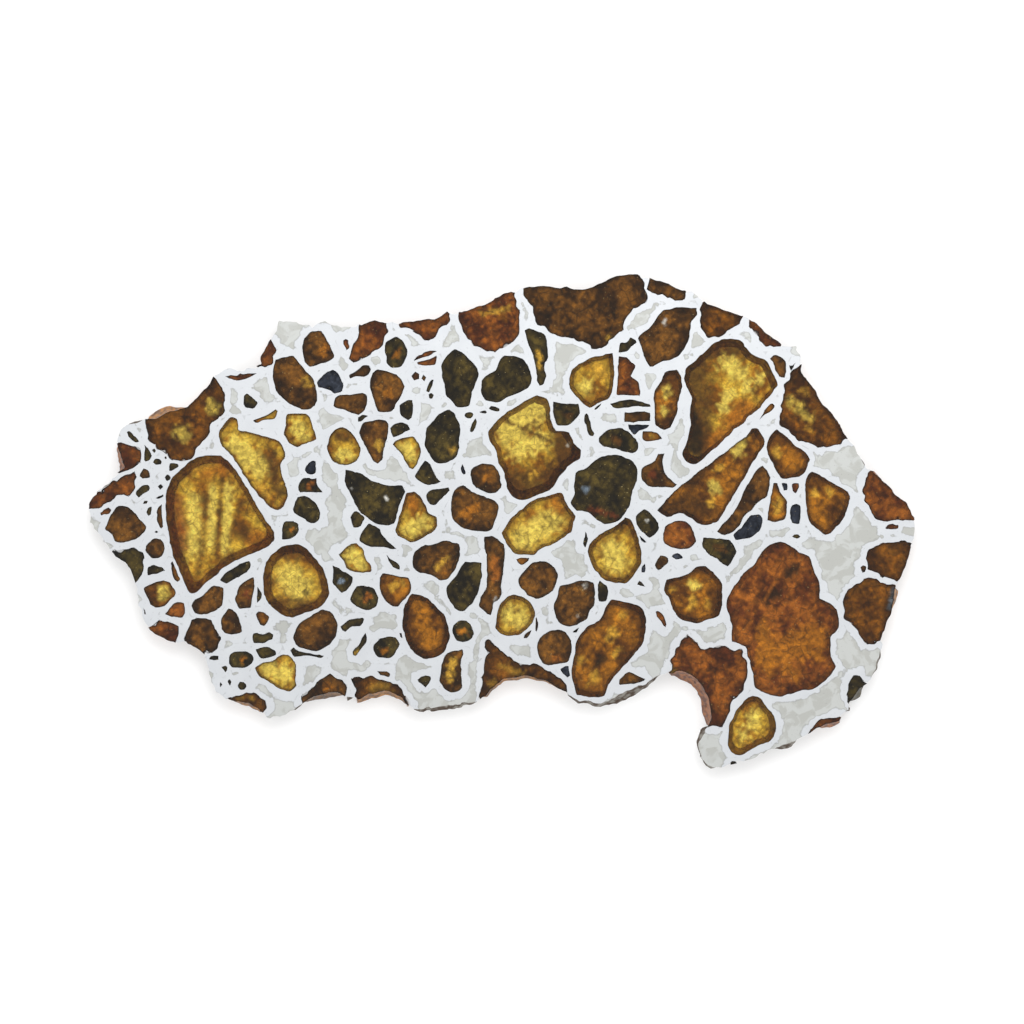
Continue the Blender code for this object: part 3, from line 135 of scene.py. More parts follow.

# Marks in the large crystals: from x, y to x, y in slice millimetres, half width and tone. The GLINT marks are
# painted glints.
MARKS = {
    "olivine_honey_west": (
        (-49.6, -5, -49.6, 4, 1.5, Tone.WINDOW), (-46.6, -4, -46.2, 6, 0.9, Tone.WINDOW),
        (-44.2, -5, -43.6, 6, 0.9, Tone.WINDOW), (-48.6, -8, -47.4, 5, 0.30, Tone.BROWN),
        (-45.6, -5, -44.6, 9, 0.38, Tone.BROWN), (-43.4, -3, -41.4, 4, 0.5, Tone.BROWN),
        (-41.6, -1, -39.6, -3, 1.2, Tone.BROWN), (-48, 8.6, -43, 9.6, 0.9, Tone.AMBER),
        (-52.6, 4, -52.0, -5, 1.0, Tone.RUST), (-40, -3.6, -38, -2, 0.8, Tone.AMBER)),
    "olivine_hook_west": (
        (-42.8, 12.6, -38.6, 9, 1.9, Tone.WINDOW), (-37.0, 11, -35.6, 5, 1.0, Tone.BROWN),
        (-38.6, 5.8, -37.6, 4.6, 0.7, Tone.GOLD)),
    "olivine_brown_north_west": ((-31, 23, -31, 22.6, 0.8, Tone.GOLD),),
    "olivine_rim_north_west": (
        (-51, 14.3, -51.4, 14.6, 1.2, Tone.WINDOW), (-46.2, 18.3, -46.4, 18.9, 1.1, Tone.WINDOW)),
    "olivine_round_west": (
        (-34.2, -8.4, -32.4, -10.4, 2.7, Tone.WINDOW), (-31, -10.9, -31, -10.8, 0.4, Tone.BLACK),
        (-36, -13, -30.5, -14, 0.9, Tone.BROWN), (-35, -4.5, -31, -4.4, 0.8, Tone.BROWN)),
    "olivine_black_centre": (
        (-23.7, 5.5, -23.5, 5.4, 0.22, Tone.GLINT), (-18.4, 4, -18.3, 3.9, 0.22, Tone.GLINT)),
    "olivine_rim_rust_north": ((-20.3, 28.5, -20.6, 28.7, 0.7, Tone.ORANGE),),
    "olivine_gold_centre": (
        (-14.6, -1.2, -12.4, 0, 1.5, Tone.WINDOW), (-14.2, 3.2, -14.2, 4, 0.9, Tone.AMBER)),
    "olivine_olive_centre": ((-5.6, 1.4, -4.4, 2.4, 0.9, Tone.AMBER),),
    "olivine_banded_south": (
        (-10.4, -7, -8.2, -5.4, 0.35, Tone.GOLD), (-9, -8, -8.8, -7.9, 0.5, Tone.AMBER)),
    "olivine_yellow_south": (
        (1.2, -14.4, 3.2, -15.2, 1.9, Tone.WINDOW), (2, -14, 2.6, -13.8, 0.35, Tone.BROWN)),
    "olivine_brown_south": (
        (13.5, -9.9, 13.4, -10, 0.25, Tone.GLINT), (12, -14.8, 12.1, -14.7, 0.25, Tone.GLINT)),
    "olivine_long_south": (
        (12.5, -22.3, 12.7, -21.8, 0.6, Tone.GOLD), (15, -24.2, 14.6, -25.5, 0.7, Tone.GOLD),
        (17.5, -18, 18, -17, 0.8, Tone.GOLD), (19.3, -14.4, 19.6, -14.6, 0.6, Tone.GOLD),
        (18.3, -21, 18.5, -20.6, 0.6, Tone.GOLD), (15.5, -22.3, 16, -21.6, 0.8, Tone.BLACK)),
    "olivine_rim_bridge_south": (
        (0, -23, 3, -24, 0.6, Tone.GOLD), (-1.6, -26, -1.2, -25.4, 0.6, Tone.GOLD)),
    "olivine_rim_arch_south": ((-20.4, -26.4, -18.6, -26.2, 0.9, Tone.GOLD),),
    "olivine_rim_brown_south": ((-28, -26.5, -27.4, -26.3, 0.8, Tone.AMBER),),
    "olivine_rim_amber_south_west": (
        (-42, -28, -41.8, -28, 0.45, Tone.GOLD), (-40.2, -27.9, -40, -27.9, 0.45, Tone.GOLD)),
    "olivine_black_north": ((-7.9, 11.4, -7.9, 11.8, 0.4, Tone.GOLD),),
    "olivine_rim_great_rust": (
        (-3, 33.6, 1, 34.4, 0.45, Tone.GOLD), (-0.1, 33, 0.4, 32.8, 0.6, Tone.AMBER)),
    "olivine_rim_great_brown": ((17, 29.6, 17.2, 29.8, 0.45, Tone.GOLD),),
    "olivine_honey_north": (
        (13.2, 21.5, 13.6, 22, 1.3, Tone.WINDOW), (16, 24, 15.6, 25.4, 1.1, Tone.GOLD)),
    "olivine_great_centre": (
        (9.8, 16, 10.6, 8, 2.4, Tone.BROWN), (1, 6.4, 9, 6.8, 2.6, Tone.BROWN),
        (1, 14.6, 5.6, 18.4, 2.3, Tone.WINDOW), (2.6, 11.8, 6.2, 13.4, 1.7, Tone.WINDOW),
        (-1, 17.3, 8, 13, 0.28, Tone.BROWN), (4, 15.6, 6.5, 17.5, 0.22, Tone.BROWN),
        (9.4, 10.4, 11.4, 11.6, 1.3, Tone.BROWN), (1, 6.4, 3, 5.2, 1.2, Tone.BROWN),
        (7.8, 7.4, 9.2, 9.2, 1.1, Tone.BROWN), (10.8, 12.8, 10.8, 12.7, 0.2, Tone.GLINT),
        (5, 7.6, 5.4, 7.8, 0.6, Tone.GOLD)),
    "olivine_yellow_centre": (
        (3.4, -2.6, 8, 0.4, 2.3, Tone.WINDOW), (9.6, 2.4, 9, 3.6, 1.0, Tone.AMBER),
        (1.8, -1.4, 1.9, -1.4, 0.35, Tone.BLACK)),
    "olivine_dark_centre": (
        (13.2, 5.2, 13.4, 5.6, 0.4, Tone.BLUE), (14, 2.2, 18, 1.2, 0.4, Tone.RUST)),
    "olivine_large_north_east": (
        (30.4, 25, 31.8, 9.6, 3.4, Tone.BROWN), (33, 27.6, 41, 28, 1.5, Tone.BROWN),
        (34.4, 12.4, 39, 18.6, 1.7, Tone.AMBER),
        (36.2, 25.6, 38.2, 24, 1.4, Tone.WINDOW), (39.4, 22.6, 39.6, 21.6, 1.0, Tone.WINDOW),
        (36.7, 20.8, 35.6, 18.6, 1.1, Tone.WINDOW), (41.3, 23.3, 41.6, 23.6, 0.9, Tone.WINDOW),
        (30.6, 17, 31, 12, 1.4, Tone.BLACK)),
    "olivine_slim_north_east": (
        (26.6, 21.6, 26.5, 20.6, 0.7, Tone.WINDOW), (26, 18.2, 26, 17.6, 0.6, Tone.WINDOW)),
    "olivine_brown_north": ((26.2, 32.2, 26.3, 32.1, 0.22, Tone.GLINT),),
    "olivine_long_east": (
        (26, 2.2, 33, 2.6, 1.8, Tone.BROWN), (36, 13, 30.4, 6.4, 0.9, Tone.BROWN),
        (38.6, 13.2, 37.6, 11.4, 0.8, Tone.WINDOW), (35, 9, 34.8, 8.6, 0.6, Tone.GOLD),
        (34, 6.2, 34.4, 5.4, 0.9, Tone.WINDOW), (33.7, 3.6, 33.6, 3.2, 0.6, Tone.GOLD),
        (30, 4.6, 27, 2.6, 0.8, Tone.BROWN)),
    "olivine_round_east": (
        (17.6, -4.2, 18.4, -6.2, 2.2, Tone.WINDOW), (19.4, 0, 19.2, -0.4, 0.7, Tone.BLACK)),
    "olivine_amber_east": (
        (30.2, -9.5, 31.5, -10, 0.7, Tone.WINDOW), (30.8, -11.9, 30.5, -13.3, 0.7, Tone.GOLD),
        (33.3, -13.2, 33.4, -12.8, 0.6, Tone.GOLD), (27, -10.2, 27.2, -10.4, 0.5, Tone.GOLD)),
    "olivine_wedge_east": ((43.7, 12, 44.2, 10.8, 0.6, Tone.GOLD),),
    "olivine_speckled_east": (
        (50, 5, 50.2, 4.6, 0.6, Tone.GOLD), (52.4, 5.2, 52.6, 4.8, 0.6, Tone.GOLD)),
    "olivine_rim_gold_east": (
        (46.4, 19.6, 49.3, 17, 0.8, Tone.WINDOW), (48.3, 21.3, 48.5, 21, 0.7, Tone.GOLD),
        (49, 15.5, 49.4, 15.3, 0.7, Tone.GOLD)),
    "olivine_great_south_east": (
        (44, -21, 50, -18.4, 2.6, Tone.AMBER), (42, -17, 42.6, -23, 1.4, Tone.AMBER),
        (48, -20, 50.8, -21.5, 0.9, Tone.AMBER), (47, -24.5, 46, -23.6, 0.9, Tone.AMBER),
        (41.2, -21.5, 41.6, -22.4, 0.8, Tone.AMBER), (47, -7, 46, -7.8, 1.0, Tone.BLACK),
        (43.8, -11, 42, -12, 1.0, Tone.BLACK), (38.8, -17, 44, -9, 0.22, Tone.ORANGE)),
    "olivine_hook_south_east": (
        (40.5, -30.6, 40.4, -31.8, 1.3, Tone.WINDOW), (38.6, -33.6, 38.8, -34.4, 0.9, Tone.WINDOW)),
    "olivine_rim_notch_south_east": (
        (27.2, -24, 29.6, -24.4, 0.6, Tone.GOLD), (31.2, -26.4, 32.6, -29.4, 0.6, Tone.GOLD)),
    "olivine_rim_strip_south_east": ((43.5, -36.9, 43, -37, 0.5, Tone.GOLD),),
    "olivine_rim_long_east": ((62.8, -10.4, 62.2, -13.6, 0.4, Tone.BLUE),),
}


@dataclass(frozen=True)
class Grain:
    """A crystal without a solid of its own.

    Args:
        kind: What it is made of.
        outline: Its corners on the polished face, in slice millimetres.
        marks: Its marks, as in MARKS.
    """

    kind: Kind
    outline: tuple
    marks: tuple = ()


GRAINS = (
    Grain(Kind.BROWN, (
        (-61.5, 2.8), (-60, 2.8), (-58.4, 1.5), (-57.7, 0.5), (-56.9, -0.6), (-57.5, -1.7),
        (-58.3, -2.4), (-59.8, -3), (-61.6, -2.9), (-62.6, -1.6), (-63.4, -0.8), (-62.7, 0.9))),
    Grain(Kind.BROWN, (
        (-56.6, -3), (-55.6, -2.4), (-54.6, -2.6), (-54, -3.2), (-53.9, -4), (-54.6, -5.4),
        (-55.6, -5.6), (-56.4, -5.1), (-56.8, -4.4))),
    Grain(Kind.BROWN, (
        (-31.6, 29.5), (-31, 30.4), (-29.4, 30.8), (-28.6, 30.6), (-27.2, 28), (-26.7, 26.7),
        (-28.5, 25.6), (-30.8, 25.2), (-31.5, 25.7), (-31.8, 27.5)),
        ((-28.6, 27.4, -28.2, 28, 0.7, Tone.AMBER),)),
    Grain(Kind.DARK, (
        (-16.9, 29.9), (-18.2, 29.2), (-18.8, 28.1), (-18.5, 26.8), (-18.4, 25.7), (-17.4, 24.9),
        (-16, 25.2), (-15.3, 26.4), (-15.1, 27.5), (-15.7, 29)),
        ((-17, 27, -16.8, 27.4, 0.5, Tone.AMBER),)),
    Grain(Kind.BROWN, (
        (-26.9, 18.8), (-26.6, 20), (-25.9, 20.5), (-24.4, 20.6), (-22.3, 20.8), (-21.5, 20.4),
        (-21.5, 19.6), (-22, 17.9), (-22.9, 17.4), (-24.6, 18.1), (-26.4, 18.4))),
    Grain(Kind.BROWN, (
        (-19.7, 24.6), (-17.2, 24), (-16, 23), (-15.6, 21.5), (-16.4, 19.8), (-17.2, 18.4),
        (-17.9, 17.9), (-19.6, 17.9), (-20.3, 19.3), (-20.9, 21.5), (-21, 22.7), (-20.6, 24)),
        ((-18.4, 20.6, -18, 21.4, 0.6, Tone.AMBER),)),
    Grain(Kind.CLEAR, (
        (-34.3, 17.4), (-31.2, 17.5), (-30.6, 16.9), (-29.9, 14.8), (-29.6, 13.6), (-31.3, 12.8),
        (-32.6, 12.2), (-34.2, 13.1), (-34.9, 14.6), (-34.5, 16)),
        ((-32.8, 15.6, -31.8, 14.2, 1.3, Tone.WINDOW),)),
    Grain(Kind.CLEAR, (
        (-26.7, 15), (-25.5, 15.4), (-24.4, 14.9), (-23, 13.2), (-22.6, 12), (-22.6, 10.9),
        (-23.4, 10), (-25, 9.3), (-26.1, 9.4), (-27, 10.2), (-27.9, 11.9), (-27.4, 14)),
        ((-25.6, 10.8, -24.6, 11, 1.1, Tone.WINDOW), (-26, 14, -24.8, 13.8, 1.0, Tone.BROWN))),
    Grain(Kind.BROWN, (
        (-20.3, 16.6), (-18.9, 16.6), (-18, 15.8), (-18.2, 14.4), (-18.8, 11.6), (-19.2, 10.1),
        (-19.7, 9.6), (-20.5, 10), (-21.6, 12), (-22.8, 14.5), (-22.2, 15.9)),
        ((-19.8, 13, -19.6, 12, 0.6, Tone.GOLD),)),
    Grain(Kind.DARK, (
        (-32.6, 4.2), (-31.8, 4.4), (-30.7, 4.1), (-29.8, 3.3), (-29.1, 2), (-29.1, 0.8),
        (-29.8, 0.2), (-30.8, 0.2), (-33, 1.6), (-33.3, 2.6))),
    Grain(Kind.DARK, (
        (-34.8, 0.2), (-33.2, 0.4), (-32.5, -0.2), (-32.4, -1.3), (-33.4, -2.3), (-35.1, -2.6),
        (-35.2, -1)), ((-33.6, -1, -33.4, -1, 0.3, Tone.AMBER),)),
    Grain(Kind.DARK, (
        (-27.1, -6.8), (-25.7, -7.3), (-24, -8.7), (-23.9, -9.6), (-24.8, -10.8), (-25.5, -11.1),
        (-26.6, -10), (-27.1, -9.2), (-26.9, -7.8)), ((-25.9, -9.4, -25.6, -9.2, 0.3, Tone.BLUE),)),
    Grain(Kind.DARK, (
        (-23.2, -10), (-21.1, -10.1), (-20.4, -10.5), (-19.7, -11.9), (-20, -13.2), (-21.4, -13.8),
        (-23.2, -13.2), (-24.2, -12.2), (-23.9, -11.2)),
        ((-21.7, -12, -21.5, -11.8, 0.6, Tone.ORANGE),)),
    Grain(Kind.CLEAR, (
        (-26.1, -5), (-24, -3.2), (-23.3, -3.1), (-22.2, -4.1), (-21.7, -5.8), (-20.8, -7),
        (-21, -7.8), (-23.4, -7.8), (-24.9, -7), (-25.2, -6)),
        ((-24.4, -5, -22.6, -6.6, 1.6, Tone.WINDOW),)),
    Grain(Kind.DARK, (
        (-24.2, 0.9), (-23.5, 2), (-22.8, 1.9), (-21.9, 0.9), (-22.5, -0.4), (-23.7, -0.6))),
    Grain(Kind.DARK, (
        (-21.2, -0.1), (-19.5, -0.8), (-19.1, -1.7), (-18.2, -2.7), (-16.9, -4.2), (-17.8, -4.2),
        (-19, -3.8), (-21.4, -3.6), (-22.7, -2.6), (-22.5, -1.6), (-21.9, -0.7))),
    Grain(Kind.DARK, (
        (-40.5, -5.9), (-40.1, -6.4), (-40.7, -7.8), (-42.4, -8.6), (-44, -9.7), (-45.2, -9.1),
        (-44.2, -8.1), (-41.9, -6.5))),
    Grain(Kind.BROWN, (
        (-39.7, -8.6), (-39.5, -10), (-39.9, -12), (-40, -13.5), (-42, -13.6), (-42.6, -12),
        (-42, -10.1), (-41.1, -9.4)), ((-40.8, -11.4, -40.8, -11, 0.5, Tone.RUST),)),
    Grain(Kind.AMBER, (
        (-57.3, -10.4), (-55.2, -9.3), (-54, -9.1), (-53.1, -9.5), (-52.1, -10.9), (-52.4, -11.8),
        (-54, -13.1), (-55.3, -13.5), (-56.1, -13), (-56.9, -11.4)),
        ((-54.2, -10.8, -54, -11.4, 1.0, Tone.WINDOW),)),
    Grain(Kind.RUST, (
        (-53.8, -14.5), (-53.2, -13.6), (-52.3, -12.8), (-51.3, -12.5), (-50.9, -12.8),
        (-50.7, -14.2), (-51.1, -15), (-52.8, -14.9))),
    Grain(Kind.BROWN, (
        (-44.6, -10.4), (-46, -9.9), (-47.1, -10.9), (-49, -12.2), (-49.5, -13.2), (-49.1, -14.4),
        (-47.6, -14.5), (-45.4, -13.7), (-44.6, -12.8))),
    Grain(Kind.BROWN, (
        (-43.7, -13.6), (-42.9, -13.8), (-42.2, -14.6), (-41.7, -16), (-41.6, -17.4),
        (-42.3, -17.8), (-44, -17.6), (-44.7, -16.8), (-44.8, -15.2), (-44.4, -14.4))),
    Grain(Kind.DARK, (
        (-43.4, -21.1), (-42.8, -20.5), (-41, -20.4), (-39.8, -21.2), (-39.8, -22.1),
        (-40.9, -23.1), (-43.1, -22.9), (-43.6, -22.3)), ((-41.6, -21.8, -41.4, -21.8, 0.4, Tone.AMBER),)),
    Grain(Kind.CLEAR, (
        (-39.6, -23.2), (-38, -22.2), (-36.8, -22), (-35.2, -21.1), (-34.1, -21.1), (-33.3, -21.9),
        (-32.8, -23.2), (-33, -24.8), (-32.9, -26.1), (-33.8, -27), (-36.2, -26), (-38.4, -24.6)),
        ((-37.6, -23.4, -34.4, -24.2, 1.6, Tone.WINDOW),)),
    Grain(Kind.AMBER, (
        (-19.1, -8.1), (-17, -8.3), (-14.9, -8.8), (-14.4, -10), (-14.6, -11), (-15.7, -12.4),
        (-16.6, -13.3), (-17.9, -13), (-18.8, -12.3), (-19.4, -10.4), (-19.4, -8.7)),
        ((-17.4, -10.4, -16.4, -9.6, 0.7, Tone.GOLD),)),
    Grain(Kind.DARK, (
        (-20.5, -19.6), (-19.6, -18.4), (-18.2, -18.1), (-17, -18.3), (-16.3, -19.2),
        (-16.9, -20.5), (-17.7, -21.4), (-19.3, -21.5), (-20.1, -21)),
        ((-19, -20.5, -18.8, -20.4, 0.5, Tone.AMBER),)),
    Grain(Kind.DARK, (
        (-6, -6.3), (-4.6, -6.1), (-3.2, -6.3), (-3.1, -7.8), (-3.4, -9.8), (-4, -11.6),
        (-4.6, -12.6), (-5.2, -13.3), (-5.9, -14), (-6.7, -14), (-7.7, -13.1), (-8.7, -11.6),
        (-8.8, -10.4), (-7.5, -8.7))),
    Grain(Kind.BROWN, (
        (-2.7, -2.1), (-1.3, -2), (-0.4, -2.8), (0.4, -3.5), (0.5, -5), (0.3, -7.6), (0, -9.8),
        (0, -11), (-0.4, -12), (-1.3, -12.7), (-1.5, -14), (-1.8, -14.7), (-2.6, -14.2),
        (-3.6, -13), (-3.4, -11.8), (-2.5, -10.4), (-2.3, -7.6), (-2.5, -5), (-2.7, -3.6)),
        ((-1, -12.2, -1, -12.1, 0.25, Tone.GLINT), (-1.2, -6, -1, -8.6, 0.7, Tone.ORANGE))),
    Grain(Kind.BROWN, (
        (4.4, -6.8), (5.4, -6.1), (7.2, -6.1), (8.2, -6.8), (9, -8), (8.7, -9.8), (8.2, -10.7),
        (6.6, -11.8), (5.4, -12), (4.1, -11.5), (3.5, -10.7), (2.6, -9.3), (2.9, -8.4),
        (3.8, -7.5))),
    Grain(Kind.DARK, (
        (-7.7, -16.3), (-6.9, -15.6), (-5.7, -15.6), (-4.8, -16.4), (-4.5, -17.7), (-4.9, -18.6),
        (-6.2, -19), (-7.2, -18.6), (-7.8, -17.6)), ((-6.3, -17.4, -6, -17.2, 0.6, Tone.AMBER),)),
    Grain(Kind.BROWN, (
        (-9, -21), (-7.8, -20.5), (-6.3, -20.1), (-6.1, -20.8), (-6.5, -22.6), (-6.3, -25),
        (-6.3, -26.3), (-7, -26.8), (-8.4, -26.9), (-9.3, -26.3), (-10, -25.2), (-9.6, -23)),
        ((-7.8, -22, -8.2, -24.6, 0.7, Tone.GOLD),)),
    Grain(Kind.BROWN, (
        (9, -17), (10.3, -17.4), (11.2, -18.7), (11.2, -20.2), (10.8, -21.8), (9.7, -22.4),
        (8, -22.7), (6.8, -22.4), (6, -21.1), (5.7, -19.4), (6.4, -18.1), (7.4, -17.4)),
        ((8.6, -21.8, 8.8, -21.4, 0.6, Tone.ORANGE),)),
    Grain(Kind.TROILITE, (
        (9.4, -23.3), (10.3, -22.8), (10.8, -22.8), (10.9, -23.6), (10.9, -24.4), (10.4, -24.6),
        (9.8, -24))),
    Grain(Kind.DARK, (
        (-16.1, 19), (-15, 19.8), (-14.3, 19.7), (-14.2, 18), (-14.3, 17), (-14.9, 16.6),
        (-15.7, 16.9), (-16.2, 17.6))),
    Grain(Kind.DARK, (
        (-17.7, 15.3), (-17, 15.9), (-16, 16.2), (-15.1, 15.9), (-14.7, 15), (-15.4, 14.6),
        (-16.6, 14), (-17.5, 13.9))),
    Grain(Kind.CLEAR, (
        (-17.5, 12.6), (-17.2, 13.1), (-16.1, 13.5), (-15, 13.9), (-14, 13.8), (-13.2, 12.7),
        (-12.9, 11.2), (-13.4, 9.9), (-14.2, 8.7), (-14.8, 9), (-15.8, 10.7), (-16.7, 11.8)),
        ((-15.8, 12, -14.4, 11, 1.4, Tone.WINDOW),)),
    Grain(Kind.DARK, (
        (-12.2, 10.1), (-11.3, 9.5), (-10.9, 8.7), (-10.1, 7.1), (-9.7, 6.6), (-10.8, 6.2),
        (-12.2, 6.2), (-13.4, 7), (-13.9, 7.6), (-13.4, 8.5), (-12.7, 9.4))),
    Grain(Kind.DARK, (
        (-11.3, 5.4), (-10, 5.5), (-8.4, 5.9), (-8.2, 5.4), (-9.5, 4), (-10.6, 3), (-11.5, 3.1),
        (-12, 4.4))),
    Grain(Kind.BROWN, (
        (-4.7, 8.7), (-3.8, 9.4), (-2.3, 9.6), (-1.1, 9.1), (-0.4, 8), (-0.1, 6.6), (0, 5.6),
        (-0.9, 4.9), (-2.4, 4.9), (-4.1, 5.8), (-4.7, 6.7), (-4.9, 7.8)),
        ((-2.4, 7, -2, 7.6, 0.5, Tone.AMBER),)),
    Grain(Kind.DARK, (
        (3.7, 31), (4.4, 31.3), (5.9, 30.6), (7.1, 30), (7.2, 28.4), (7.4, 26.7), (6.9, 25.3),
        (7.1, 23.6), (6.8, 22.4), (6.1, 22.1), (5.7, 22.9), (5.4, 24.8), (5, 27), (4.2, 29)),
        ((6.1, 25, 6, 27.6, 0.4, Tone.GOLD),)),
    Grain(Kind.DARK, (
        (8.3, 19.5), (10, 19.2), (12.4, 19), (12.5, 17.6), (11.3, 16.2), (10.4, 15.6), (9.1, 15.6),
        (8.4, 17)), ((10.4, 17.6, 10.8, 17.4, 0.6, Tone.BROWN),)),
    Grain(Kind.RUST, (
        (18.8, 26.7), (20, 26.5), (21.3, 25.3), (20.8, 23.6), (22, 22.4), (22.3, 21.2), (22, 20.5),
        (20, 20.5), (18.6, 20.6), (18.5, 22.4), (18.6, 25))),
    Grain(Kind.DARK, (
        (18.8, 27.4), (18.8, 28.4), (19.1, 29), (20, 29.1), (20.6, 29.9), (21.4, 29.4), (21.7, 29),
        (20.9, 28.3), (20.1, 27.6))),
    Grain(Kind.DARK, (
        (17.3, 19.2), (19, 19.6), (21.8, 19.7), (23.6, 19.1), (23.7, 18.6), (21.5, 18.7),
        (19.4, 18.5), (18, 18.5))),
    Grain(Kind.BROWN, (
        (19.6, 17.7), (22, 17.9), (23.7, 17.6), (23.8, 16.5), (22, 16.3), (19.8, 16.3))),
    Grain(Kind.DARK, (
        (15.7, 13.9), (17, 15), (19, 15.2), (20.3, 14.7), (21.4, 13.5), (21.9, 12.6), (21.5, 11.6),
        (20.6, 11.3), (18.2, 11.9), (16.5, 12.2), (15.7, 13)),
        ((18, 13.6, 18.6, 13.2, 0.6, Tone.BROWN),)),
    Grain(Kind.AMBER, (
        (22.6, 14.8), (24, 14.8), (25.4, 14), (25.7, 13.5), (24.6, 13.3), (23.3, 13.2),
        (22.6, 13.5)), ((24, 14.1, 24.2, 14.1, 0.35, Tone.GOLD),)),
    Grain(Kind.RUST, (
        (28.4, 0.4), (29.6, 0.2), (30.6, -1), (31.1, -2.6), (30.8, -3.5), (29.6, -4), (27.3, -3.9),
        (26.2, -3.3), (25.8, -2), (26.1, -0.5), (27, 0.2)),
        ((28.4, -1.6, 28.8, -2.2, 1.2, Tone.ORANGE),)),
    Grain(Kind.DARK, (
        (22.8, 2.3), (23.8, 1.8), (24.9, 0.4), (25.2, -0.8), (24.6, -1.9), (23.7, -2.2),
        (22.5, -1.3), (21.7, -0.2), (21.6, 1.1)), ((23.4, 0.4, 23.5, 0.5, 0.18, Tone.GLINT),)),
    Grain(Kind.DARK, (
        (32.4, -2.2), (34, -2.4), (36.3, -2.6), (37, -3.3), (37.5, -4.5), (36.9, -5.8),
        (36.1, -6.8), (35.4, -6.6), (34.3, -5.6), (32.8, -4.6), (32, -3.5)),
        ((34.6, -3.8, 35.4, -4.2, 0.7, Tone.BROWN),)),
    Grain(Kind.BROWN, (
        (22.5, 8.7), (24.2, 9.8), (25.1, 11), (26.2, 11.3), (25.8, 9.8), (26, 8.2), (27.2, 6.8),
        (28, 6.2), (27.4, 5.8), (25, 5.8), (23.5, 6), (22.5, 6.9)),
        ((24, 8, 24.2, 7.8, 0.7, Tone.RUST),)),
    Grain(Kind.DARK, (
        (15.6, -9.1), (16.2, -9.5), (16.9, -10.2), (17, -11.6), (16.7, -12.4), (15.6, -12.5),
        (15.4, -11), (15.4, -9.8))),
    Grain(Kind.BROWN, (
        (43, 26.5), (43.6, 27), (44.7, 26.7), (45.5, 25.8), (45.5, 24.3), (45.2, 23.4),
        (44.5, 23.5), (43.9, 24.5), (43.5, 25.5))),
    Grain(Kind.AMBER, (
        (41.1, 16.7), (41.7, 17.5), (42.3, 18.5), (42.9, 19.1), (43.4, 19.1), (43.7, 18.8),
        (43.5, 18.3), (42.8, 17.7), (42, 17.4))),
    Grain(Kind.AMBER, (
        (43.4, 6.4), (44.1, 6.4), (44.6, 5.1), (45.7, 3.8), (45.7, 2.6), (45.4, 0.7), (43.8, 0.3),
        (42.6, 0.5), (42.7, 1.8), (43, 3.8), (43.3, 5.4)),
        ((44.2, 2, 44.4, 3.6, 0.7, Tone.GOLD),)),
    Grain(Kind.TROILITE, ((44.8, 6.5), (45.7, 6.4), (45.7, 5.4), (45.2, 5.3))),
    Grain(Kind.RUST, ((46.4, 6.3), (47.6, 6.4), (47.8, 5.9), (47, 4.9), (46.5, 5.2))),
    Grain(Kind.TROILITE, (
        (46.5, 2.8), (47.2, 3.1), (47.8, 2.9), (47.9, 1), (47.7, -0.1), (46.5, 0.1), (46.2, 0.9),
        (46.2, 2.1))),
    Grain(Kind.BROWN, (
        (19.8, -24.2), (20.5, -23.9), (22.1, -24.4), (23, -24.9), (22, -25.5), (20, -25.8),
        (18.8, -25.7), (18.8, -25))),
    Grain(Kind.DARK, (
        (-41.2, 20.5), (-40.8, 20.8), (-40.3, 20.6), (-39, 19.2), (-39.3, 18.8), (-40, 18.4),
        (-40.9, 18.6), (-41.2, 19))),
    Grain(Kind.RUST, (
        (-25.4, 29.3), (-24.9, 29.6), (-24.5, 29.4), (-24.4, 28.1), (-24.8, 27.7), (-25.3, 28.7))),
    Grain(Kind.DARK, (
        (-22.9, 16.9), (-22.2, 17.3), (-21.4, 17.2), (-21.8, 16.8), (-22.4, 16.2), (-22.9, 16.2))),
    Grain(Kind.BROWN, (
        (-24.3, 23.7), (-23, 24.6), (-22, 25.4), (-21.2, 25.3), (-21, 24.6), (-21.3, 23.8),
        (-22, 23.5), (-23.2, 23.6), (-24.2, 23.2))),
    Grain(Kind.CLEAR, (
        (-39.8, 16.5), (-39.3, 16.8), (-37.6, 17.2), (-36.7, 17.8), (-36.1, 18.3), (-35.8, 18),
        (-36.3, 16.8), (-38.2, 16.5), (-39.3, 16.2))),
    Grain(Kind.TROILITE, (
        (-31.5, 8.5), (-31.2, 9.2), (-30.6, 9.9), (-30.1, 10.1), (-29.7, 9.9), (-29.7, 8.1),
        (-30.3, 7.8), (-31.2, 8))),
    Grain(Kind.DARK, (
        (-32.3, 6.8), (-31.8, 7.3), (-31.2, 7.3), (-30.2, 7.1), (-29.6, 7.2), (-29.5, 6.2),
        (-28.6, 5.1), (-30.2, 5), (-32.3, 5), (-32.5, 5.8)),
        ((-30.8, 6, -30.4, 6.2, 0.5, Tone.ORANGE),)),
    Grain(Kind.DARK, (
        (-38.9, -10.2), (-38.6, -10.9), (-38.3, -11.3), (-38.5, -11.9), (-39.2, -12.6),
        (-39.1, -11.2))),
    Grain(Kind.AMBER, (
        (-38.8, -14.1), (-38.2, -14.1), (-37.2, -15.1), (-37.6, -15.9), (-38, -16.3), (-38.6, -16.1),
        (-39.2, -14.6))),
    Grain(Kind.DARK, (
        (-25.8, -16.5), (-25.2, -16), (-24.2, -15.4), (-23.2, -15.2), (-22.2, -15.1), (-21.9, -15.5),
        (-22.1, -16), (-22.7, -16.4), (-23.8, -16.4), (-24.3, -16.9), (-25, -17.3), (-25.5, -17.1))),
    Grain(Kind.RUST, ((-57.3, -13.3), (-57.1, -13.7), (-56.9, -14.6), (-57, -15.1), (-57.2, -14.4))),
    Grain(Kind.AMBER, (
